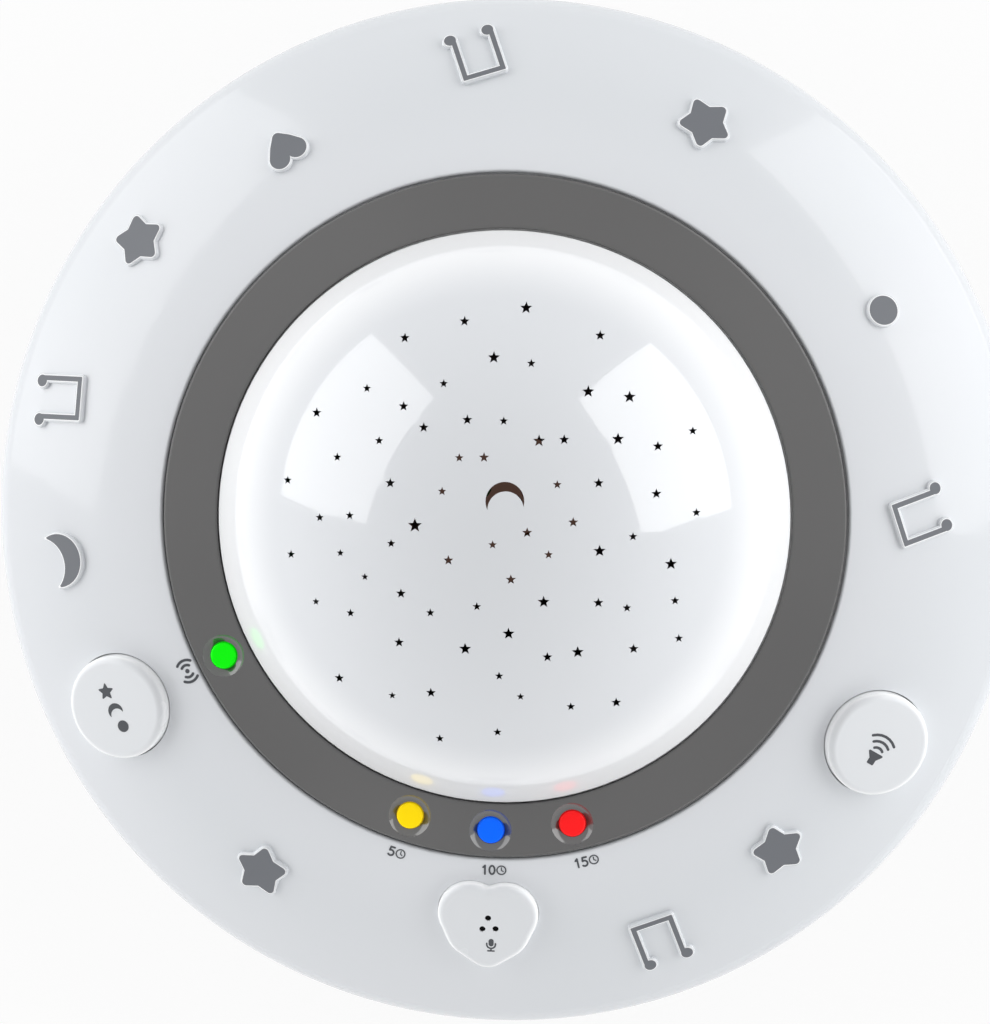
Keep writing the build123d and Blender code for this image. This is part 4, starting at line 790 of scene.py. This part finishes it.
@dataclass(frozen=True)
class Flange:
    """The crowned top face of the housing: its section arc, the planes that touch it and the heart's place on it."""

    crown: float = 73.0 * MM
    rim_radius: float = 95.0 * MM
    rim_height: float = 24.0 * MM
    rim_round: float = 5.0 * MM
    seat_radius: float = 66.35 * MM
    seat_height: float = 42.0 * MM
    middle: float = 83.175 * MM
    heart_circle: float = 79.675 * MM
    heart_azimuth: float = 270.0
    heart_rise: float = 1.7 * MM

    def centre(self) -> Vector:
        """Centre of the crown's arc.

        Returns:
            Its radius and height.
        """
        rim = plain(self.rim_radius, self.rim_height)
        span = plain(self.seat_radius, self.seat_height) - rim
        first = self.crown - self.rim_round
        along = (first**2 - self.crown**2 + span.length**2) / (2 * span.length)
        aside = math.sqrt(first**2 - along**2)
        return rim + span.normalized() * along + plain(-span.y, span.x).normalized() * aside

    def height(self, radius: float) -> float:
        """Height of the face at a plan radius."""
        centre = self.centre()
        return centre.y + math.sqrt(self.crown**2 - (radius - centre.x) ** 2)

    def normal(self, radius: float, azimuth: float) -> Vector:
        """The outward normal at a place on the face."""
        lean = math.asin((radius - self.centre().x) / self.crown)
        return Vector((*polar(math.sin(lean), azimuth), math.cos(lean)))

    def touching(self, radius: float, azimuth: float, heading: float) -> Matrix:
        """The frame that touches the face.

        Args:
            radius: Plan radius of its origin.
            azimuth: Plan azimuth of its origin, in degrees.
            heading: Plan direction of its y axis, in degrees.

        Returns:
            The frame's matrix, with z along the normal.
        """
        normal = self.normal(radius, azimuth)
        up = polar(1.0, heading).to_3d()
        up.z = -up.dot(normal) / normal.z
        up.normalize()
        side = up.cross(normal)
        foot = polar(radius, azimuth).to_3d()
        foot.z = self.height(radius)
        frame = Matrix((side, up, normal)).transposed().to_4x4()
        frame.translation = foot
        return frame

    def heart(self, shift: tuple[float, float, float]) -> Matrix:
        """The frame under the microphone heart, shifted along its own axes."""
        frame = self.touching(self.heart_circle, self.heart_azimuth, self.heart_azimuth - 180)
        return frame @ Matrix.Translation(shift)

    def wrap(self, mesh: BMesh, frame: Matrix, lift: float) -> None:
        """Lays a flat plate on the face.

        Args:
            mesh: The plate, in the frame's own axes.
            frame: The frame that touches the face at the plate's middle.
            lift: Gap under the plate.
        """
        for vertex in mesh.verts:
            point = frame @ Vector((*vertex.co.xy, 0.0))
            radius = math.hypot(point.x, point.y)
            point.z = self.height(radius)
            vertex.co = point + self.normal(radius, heading_of(point)) * (vertex.co.z + lift)


class Picture(Enum):
    """The pictures on the flange: the ink's outline in millimetres."""

    DOT = "dot"
    STAR = "star"
    NOTE = "note"
    HEART = "heart"
    MOON = "moon"

    def loops(self, margin: float = 0.0) -> Loops:
        """The picture's outline.

        Args:
            margin: How far outside the ink it runs.

        Returns:
            Closed loops that may overlap.
        """
        if self is Picture.DOT:
            return [disc(plain(0, 0), 2.85 + margin)]
        if self is Picture.STAR:
            grown = 1 + margin / STAR_SIDE
            return star(5.6 * grown, 3.4 * grown, 0.8 + margin)
        if self is Picture.NOTE:
            return note(margin)
        if self is Picture.HEART:
            return heart(margin)
        return crescent(5.2 + margin, 5.72 - margin, 4.35, 0.4)


@dataclass
class Trim:
    """Pieces that dress the lamp: the face they lie on, a sheet's thickness and the gap under it."""

    flange: Flange = Flange()
    sheet: float = 0.02 * MM
    lift: float = 0.01 * MM

    def add(self, name: str, mesh: BMesh, finish: Finish, slot: str, body: str = "housing") -> None:
        """Makes a piece of the lamp.

        Args:
            name: Its name.
            mesh: Its mesh, in the model's frame, which is used up.
            finish: Its finish.
            slot: The record's slot for its material.
            body: The body that carries it.
        """
        data = bpy.data.meshes.new(name)
        mesh.to_mesh(data)
        mesh.free()
        piece = placed(name, data)
        coat(piece, finish)
        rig.ride(piece, body)
        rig.slot(piece, slot)
        LOG.info("piece %s rides on %s", name, body)


@dataclass
class RaisedPictures(Trim):
    """The ink on top of the flange's raised pictures, each on a larger white outline that is a painted highlight."""

    rise: float = 0.7 * MM
    # Width of the painted highlight round each picture's ink, in millimetres.
    border: float = 0.2
    places: tuple[tuple[str, Picture, float, float, float], ...] = (
        ("dot", Picture.DOT, -0.4, 31.1, 31.1),
        ("star_back", Picture.STAR, 1.6, 65.6, 182.5),
        ("note_back", Picture.NOTE, 5.8, 96.3, 292.8),
        ("heart", Picture.HEART, -0.4, 123.7, 310.0),
        ("star_left", Picture.STAR, 5.7, 146.0, 180.5),
        ("note_left", Picture.NOTE, 6.5, 168.3, 1.3),
        ("moon", Picture.MOON, 4.5, 188.6, 22.3),
        ("star_front_left", Picture.STAR, 0.9, 238.0, 2.5),
        ("note_front", Picture.NOTE, 4.7, 292.3, 111.6),
        ("star_front_right", Picture.STAR, 0.25, 311.7, 186.5),
        ("note_right", Picture.NOTE, -3.25, 2.6, 202.5),
    )

    def build(self) -> None:
        """Prints each picture in grey on a slightly larger one in white, a painted highlight round its outline."""
        for name, shape, shift, azimuth, heading in self.places:
            frame = self.flange.touching(self.flange.middle + shift * MM, azimuth, heading)
            height = self.rise + self.lift
            for layer, margin, finish in (("border", self.border, Finish.OUTLINE_HIGHLIGHT), ("ink", 0.0, Finish.PICTURE_INK)):
                mesh = printed(shape.loops(margin), self.sheet, MM)
                mesh.transform(frame @ Matrix.Translation((0, 0, height)))
                self.add(f"{layer}_{name}", mesh, finish, "white_shell")
                height += self.sheet + self.lift


@dataclass(frozen=True)
class Glyphs:
    """Plain numbers and pictograms drawn with one pen, in millimetres about their own middle."""

    pen: float = 0.5
    tall: float = 2.9
    pitch: float = 1.95
    number_shift: float = -1.75
    clock_shift: float = -0.2

    def digit(self, number: str) -> Loops:
        """One digit.

        Args:
            number: 0, 1 or 5.

        Returns:
            Overlapping closed loops.
        """
        top = (self.tall - self.pen) / 2
        if number == "1":
            return stroke(trail(-0.45, top - 0.5, 0.05, top, 0.05, -top), self.pen)
        if number == "0":
            return stroke([plain(0.72 * point.x, top * point.y) for point in arc(plain(0, 0), 1, 0, 360, 24)], self.pen)
        bowl = arc(plain(-0.1, -0.45), 0.78, 108, -245, 20)
        return stroke(trail(0.65, top, -0.42, top, -0.55, 0.2) + bowl, self.pen)

    def number(self, text: str) -> Loops:
        """Digits side by side."""
        places = [plain((index - (len(text) - 1) / 2) * self.pitch, 0) for index in range(len(text))]
        return [loop for digit, place in zip(text, places) for loop in moved(self.digit(digit), place)]

    def clock(self) -> Loops:
        """A clock face with two hands: the light goes out after that time."""
        hands = trail(0, 0.72, 0, -0.05, 0.5, -0.35)
        return stroke(arc(plain(0, 0), 1.2, 0, 360, 24), 0.34) + stroke(hands, 0.3)

    def timer(self, text: str) -> Loops:
        """A number with a clock after it, about the middle of the pair."""
        clock = moved(self.clock(), plain(self.pitch / 2 * len(text) + self.clock_shift, 0))
        return moved(self.number(text), plain(self.number_shift, 0)) + clock

    def waves(self, centre: Vector, radii: tuple[float, ...], half: float) -> Loops:
        """Arcs that spread to the right of a point, by half their angle."""
        return [loop for radius in radii for loop in stroke(arc(centre, radius, -half, 2 * half, 14), self.pen)]

    def sound(self) -> Loops:
        """A dot between two pairs of waves: the light listens."""
        right = self.waves(plain(0, 0), (1.15, 2.1), 42)
        return [disc(plain(0, 0), 0.42)] + right + [[plain(-x, y) for x, y in reversed(loop)] for loop in right]

    def loudness(self) -> Loops:
        """A loudspeaker with three waves."""
        horn = trail(-2.7, -0.5, -1.95, -0.5, -1.0, -1.25, -1.0, 1.25, -1.95, 0.5, -2.7, 0.5)
        return [rounded_corners(horn, [0.15] * 6)] + self.waves(plain(-1.3, 0), (1.0, 1.85, 2.7), 40)

    def modes(self) -> Loops:
        """A star, a crescent and a spot side by side."""
        moon = [[plain(0.4 - point.y, point.x) for point in loop] for loop in crescent(1.3, 1.15, 0.75, 0.1)]
        return moved(star(1.5, 0.72, 0.12), plain(-3.0, 0)) + moon + [disc(plain(3.0, 0), 0.95)]

    def microphone(self) -> Loops:
        """A capsule in its cradle on a foot.

        Returns:
            Overlapping closed loops.
        """
        cradle = [plain(-1.0, 0.4), *arc(plain(0, 0.15), 1.0, 180, 180, 20), plain(1.0, 0.4)]
        foot = stroke(trail(0, -0.85, 0, -1.45), 0.36) + stroke(trail(-0.7, -1.5, 0.7, -1.5), 0.36)
        return stroke(trail(0, 1.0, 0, 0.25), 1.15) + stroke(cradle, 0.36) + foot


@dataclass
class Labels(Trim):
    """Numbers and pictograms printed beside the keys."""

    lift: float = 0.015 * MM
    draw: Glyphs = Glyphs()
    circle: float = 68.7 * MM
    timer_scale: float = 0.72
    timers: tuple[tuple[str, float], ...] = (("5", 254.9), ("10", 270.9), ("15", 286.0))
    sound_azimuth: float = 208.7
    sound_scale: float = 1.05

    def build(self) -> None:
        """Prints the marks on the flange, with their tops towards the dome."""
        marks = [(f"timer_{text}_mark", self.draw.timer(text), self.timer_scale, place) for text, place in self.timers]
        marks.append(("mark_sound", self.draw.sound(), self.sound_scale, self.sound_azimuth))
        for name, loops, scale, azimuth in marks:
            mesh = printed(loops, self.sheet, scale * MM)
            self.flange.wrap(mesh, self.flange.touching(self.circle, azimuth, azimuth + 180), self.lift)
            self.add(name, mesh, Finish.LABEL_INK, "white_shell")


@dataclass
class CapMarks(Trim):
    """The pictograms on the two large buttons and on the microphone heart."""

    draw: Glyphs = Glyphs()
    button_circle: float = 83.975 * MM
    button_radius: float = 10.25 * MM
    button_rise: float = 2.4 * MM
    button_crown: float = 0.3 * MM
    modes_scale: float = 1.25
    modes_azimuth: float = 209.0
    loudness_pen: float = 0.36
    loudness_scale: float = 1.5
    loudness_azimuth: float = 331.0
    heart_mark: Pair = (0.8 * MM, -3.6 * MM)
    heart_mark_scale: float = 0.85

    def crown_height(self, point: Vector) -> float:
        """Height of a button's crowned top above the plane that touches the flange."""
        crown = (self.button_radius**2 + self.button_crown**2) / (2 * self.button_crown)
        return self.button_rise + self.button_crown - crown + math.sqrt(crown**2 - point.length_squared)

    def build(self) -> None:
        """Prints all three marks, those on the buttons with their tops towards the dome."""
        loudness = Glyphs(self.loudness_pen).loudness()
        marks = (
            ("mark_modes", self.draw.modes(), self.modes_scale, self.modes_azimuth, "mode_button"),
            ("mark_loudness", loudness, self.loudness_scale, self.loudness_azimuth, "volume_button"),
        )
        for name, loops, scale, azimuth, body in marks:
            mesh = printed(loops, self.sheet, scale * MM)
            for vertex in mesh.verts:
                vertex.co.z += self.crown_height(vertex.co.xy) + self.lift
            mesh.transform(self.flange.touching(self.button_circle, azimuth, azimuth + 180))
            self.add(name, mesh, Finish.LABEL_INK, "white_buttons", body)
        mesh = printed(self.draw.microphone(), self.sheet, self.heart_mark_scale * MM)
        mesh.transform(self.flange.heart((*self.heart_mark, self.flange.heart_rise + self.lift)))
        self.add("mark_microphone", mesh, Finish.LABEL_INK, "white_buttons")


@dataclass
class MicrophoneFelt(Trim):
    """A black felt on the microphone's capsule, and a disc of painted shade inside each sound hole of the heart."""

    radius: float = 2.9 * MM
    depth: float = 2.29 * MM
    sheet: float = 0.03 * MM
    # Black discs just inside the sound holes: painted shade, so that the holes read black.
    hole_shade_radius: float = 0.58 * MM
    hole_shade_depth: float = 0.3 * MM
    holes: tuple[Pair, ...] = ((0.1, 2.2), (-0.95, -0.2), (1.6, -0.05))

    def build(self) -> None:
        """Lays the felt on the capsule and the discs of painted shade in the holes."""
        felt = [disc(plain(0, 0), self.radius)]
        hole_shades = [disc(plain(*hole) * MM, self.hole_shade_radius) for hole in self.holes]
        heights = (-self.depth, self.flange.heart_rise - self.hole_shade_depth)
        for name, loops, height in zip(("microphone_felt", "sound_hole_shade"), (felt, hole_shades), heights):
            mesh = printed(loops, self.sheet)
            mesh.transform(self.flange.heart((0, 0, height)))
            self.add(name, mesh, Finish.FELT, "rubber")


# ---- key cups


@dataclass
class KeyCups(Trim):
    """Polished cups in the ring's dishes, curving from lip to key hole, darker than the ring as painted shade."""

    keys: tuple[str, ...] = ("vox_button", "timer_5_button", "timer_10_button", "timer_15_button")
    inner_edge: Vector = field(default_factory=lambda: plain(55.55, 44.3) * MM)
    outer_edge: Vector = field(default_factory=lambda: plain(66.0, 42.9) * MM)
    shift: float = 0.5 * MM
    hole: float = 2.7 * MM
    floor_radius: float = 3.3 * MM
    top_radius: float = 4.15 * MM
    depth: float = 1.1 * MM
    sill: float = 0.04 * MM
    skin: float = 0.01 * MM
    hollow: float = 0.5
    drop: float = 0.95 * MM
    turns: int = 96
    steps: int = 8
    rounds: int = 4

    def ring_height(self, radius: float) -> float:
        """Height of the ring's sloping face at a plan radius."""
        share = (radius - self.inner_edge.x) / (self.outer_edge.x - self.inner_edge.x)
        return self.inner_edge.lerp(self.outer_edge, share).y

    def section(self, key: Vector, angle: float) -> list[Vector]:
        """A cup's outline in one direction.

        Args:
            key: The key's plan centre.
            angle: The direction, in degrees.

        Returns:
            Points down the curve from the lip to the sill at the key, then the hidden heel.
        """
        dish = key + key.normalized() * self.shift
        floor = self.ring_height(key.length) - self.depth
        taper = (self.top_radius - self.floor_radius) / self.depth
        lip = dish
        for _ in range(self.rounds):
            height = self.ring_height(lip.length) - self.skin
            lip = dish + polar(self.floor_radius + taper * (height - floor) - self.skin, angle)
        sill = key + polar(self.hole, angle)
        heel = dish + polar(self.floor_radius - self.skin, angle)
        heights = (height, max(floor + self.sill, height - self.drop), floor + self.skin)
        start, end, corner = (Vector((*place, level)) for place, level in zip((lip, sill, heel), heights))
        pull = start.lerp(end, 0.5).lerp(corner, self.hollow)
        shares = [step / self.steps for step in range(self.steps + 1)]
        return [start.lerp(pull, share).lerp(pull.lerp(end, share), share) for share in shares] + [corner]

    def build(self) -> None:
        """Makes the cup of each key."""
        for node in self.keys:
            low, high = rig.box(node)
            key = plain((low.x + high.x) / 2, (low.y + high.y) / 2)
            mesh = bmesh.new()
            sections = (self.section(key, 360.0 * turn / self.turns) for turn in range(self.turns))
            rows = [[mesh.verts.new(corner) for corner in section] for section in sections]
            for row, after in zip(rows, rows[1:] + rows[:1]):
                for side in range(len(row)):
                    following = (side + 1) % len(row)
                    face = mesh.faces.new((row[side], row[following], after[following], after[side]))
                    face.smooth = side < self.steps
            bmesh.ops.recalc_face_normals(mesh, faces=mesh.faces)
            for edge in mesh.edges:
                edge.smooth = all(face.smooth for face in edge.link_faces)
            self.add(node.replace("button", "cup"), mesh, Finish.SHADED_CUP, "ring_grey")


# ---- painted shade of the screw recesses


@dataclass
class ScrewRecessShades(Trim):
    """Dark crosses on the screws that show from below: painted shade for their cross recesses."""

    arm: float = 3.4 * MM
    width: float = 0.75 * MM
    post_circle: float = 75.0 * MM
    post_azimuths: tuple[float, ...] = (45.0, 135.0, 240.0, 300.0)

    def cross(self, place: Vector) -> BMesh:
        """A cross on the underside of a screw's head.

        Args:
            place: Middle of the head's face.

        Returns:
            The cross, a thin plate that stands on the face.
        """
        half = self.arm / 2
        loops = []
        for reach, thick in ((half, self.width / 2), (self.width / 2, half)):
            loops.append(rounded_corners(box(plain(-reach, -thick), plain(reach, thick)), [self.width / 4] * 4))
        mesh = printed(loops, self.sheet)
        mesh.transform(Matrix.Translation(place - Vector((0, 0, self.sheet + self.lift))))
        return mesh

    def build(self) -> None:
        """Makes the painted recess shade of the housing screws and the door screws."""
        low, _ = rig.box("housing_screws")
        for azimuth in self.post_azimuths:
            mesh = self.cross(polar(self.post_circle, azimuth).to_3d() + Vector((0, 0, low.z)))
            self.add(f"housing_screw_recess_{azimuth:.0f}", mesh, Finish.RECESS_SHADE, "steel")
        low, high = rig.box("door_screws")
        head = (high.y - low.y) / 2
        for side, x in (("left", low.x + head), ("right", high.x - head)):
            mesh = self.cross(Vector((x, (low.y + high.y) / 2, low.z)))
            self.add(f"door_screw_recess_{side}", mesh, Finish.RECESS_SHADE, "steel", "battery_door")


# ---- studio


def direction(azimuth: float, elevation: float) -> Vector:
    """The unit vector that points to an azimuth and an elevation in degrees."""
    rise = math.radians(elevation)
    return Vector((*polar(math.cos(rise), azimuth), math.sin(rise)))


@dataclass
class ViewCamera:
    """The camera: it looks almost straight down from behind the lamp's right."""

    target: Vector = field(default_factory=lambda: Vector((-2.98, -0.31, 24.0)) * MM)
    distance: float = 1500 * MM
    azimuth: float = 43.3
    elevation: float = 85.29
    up_heading: float = 92.5
    pixels_per_mm: float = 5.116
    picture_height: int = 1024
    sensor: float = 36.0
    clip: Pair = (0.01, 20.0)

    def build(self) -> None:
        """Makes the scene's camera."""
        data = bpy.data.cameras.new("camera")
        camera = placed("camera", data)
        back = direction(self.azimuth, self.elevation)
        up = polar(1.0, self.up_heading).to_3d()
        up = (up - back * up.dot(back)).normalized()
        frame = Matrix((up.cross(back), up, back)).transposed().to_4x4()
        frame.translation = self.target + back * self.distance
        camera.matrix_world = frame
        data.sensor_width = self.sensor
        focal_pixels = self.pixels_per_mm / MM * self.distance
        data.lens = self.sensor * focal_pixels / self.picture_height
        data.clip_start, data.clip_end = self.clip
        bpy.context.scene.camera = camera
        LOG.info("camera lens %.1f mm", data.lens)


@dataclass(frozen=True)
class Panel:
    """A soft light panel that faces the lamp."""

    name: str
    azimuth: float
    elevation: float
    distance: float
    width: float
    height: float
    power: float
    aim: tuple[float, float, float] = (0.0, 0.0, 0.04)

    def build(self) -> None:
        """Makes the panel."""
        data = bpy.data.lights.new(self.name, "AREA")
        data.shape = "RECTANGLE"
        data.size = self.width
        data.size_y = self.height
        data.energy = self.power
        lamp = placed(self.name, data)
        out = direction(self.azimuth, self.elevation)
        lamp.location = Vector(self.aim) + out * self.distance
        lamp.rotation_euler = out.to_track_quat("Z", "Y").to_euler()


@dataclass
class Studio:
    """White surroundings, a pale floor and soft panels."""

    overhead: float = 0.32
    horizon: float = 2.0
    horizon_behind: float = 0.62
    behind_span: Pair = (0.0, 1.0)
    horizon_sides: Pair = (0.74, 1.36)
    sides_span: Pair = (0.2, 1.0)
    horizon_top: Pair = (0.35, 0.6)
    underside: tuple[float, float, float, float] = (-0.4, -0.15, 0.4, 1.0)
    floor_size: float = 1.0
    floor_white: float = 0.98
    floor_bounce: float = 0.4
    floor_shadow: float = 0.12
    floor_roughness: float = 0.9
    tooth: float = 2e-5
    tooth_size: float = 0.002
    panels: tuple[Panel, ...] = (
        Panel("panel_left", 155, 21.5, 1.0, 0.95, 0.8, 3.3),
        Panel("panel_right", 28, 21.5, 1.0, 1.0, 0.8, 4.1),
    )

    def surroundings(self) -> None:
        """White where the camera or a reflection sees it; as light, a bright horizon under a dimmer sky."""
        world = bpy.data.worlds.new("surroundings")
        bpy.context.scene.world = world
        shader = Shader(world)
        across, behind, high = shader.axes("Generated")
        strength = behind.ramp(*self.behind_span, self.horizon, self.horizon * self.horizon_behind)
        strength = strength * across.most(across * -1.0).ramp(*self.sides_span, *self.horizon_sides)
        strength = strength * high.ramp(*self.underside)
        levels = (strength, self.overhead, 1.0)
        low, top, white = (shader.add("Background", {"Color": WHITE, "Strength": level}) for level in levels)
        light = shader.add("MixShader", {0: high.ramp(*self.horizon_top), 1: low, 2: top})
        shader.finish(shader.add("MixShader", {0: shader.seen(), 1: light, 2: white}), "World")

    def floor(self) -> None:
        """A pale sheet that stays near white and keeps a soft shadow."""
        half = self.floor_size / 2
        data = bpy.data.meshes.new("floor")
        corners = [(-half, -half, 0), (half, -half, 0), (half, half, 0), (-half, half, 0)]
        data.from_pydata(corners, [], [(0, 1, 2, 3)])
        floor = placed("floor", data)
        material = bpy.data.materials.new("floor_white")
        shader = Shader(material)
        seen = shader.seen()
        paper = {
            "Base Color": shader.mix(seen, (self.floor_bounce,) * 3, (self.floor_white,) * 3),
            "Roughness": self.floor_roughness,
            "Normal": shader.bump(shader.noise(self.tooth_size, 3.0), self.tooth),
        }
        sheet = shader.add("BsdfPrincipled", paper)
        white = shader.add("Emission", {"Color": WHITE, "Strength": 1.0})
        shader.finish(shader.add("MixShader", {0: seen * (1.0 - self.floor_shadow), 1: sheet, 2: white}))
        data.materials.append(material)
        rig.stage(floor)

    def build(self) -> None:
        """Makes the whole studio."""
        self.surroundings()
        self.floor()
        for panel in self.panels:
            panel.build()
        bpy.context.scene.view_settings.view_transform = "Standard"
        LOG.info("studio with %d panels", len(self.panels))


# ---- main


def corners_of(box_corners: tuple[Vector, Vector]) -> list[list[float]]:
    """A box's two corners as plain lists."""
    return [list(corner) for corner in box_corners]


def main() -> None:
    """Loads the frame, dresses it, and sets the studio and the camera."""
    logging.basicConfig(level=logging.INFO, format="%(name)s: %(message)s")
    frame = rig.load()
    packed = corners_of(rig.bounds())
    coat_nodes(frame["nodes"])
    for trim in (RaisedPictures, Labels, CapMarks, MicrophoneFelt, KeyCups, ScrewRecessShades):
        trim().build()
    Studio().build()
    ViewCamera().build()
    with open(SIZE_FILE, "w", encoding="utf-8") as handle:
        json.dump({"cad": packed, "visual": corners_of(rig.bounds())}, handle)


if __name__ == "__main__":
    main()
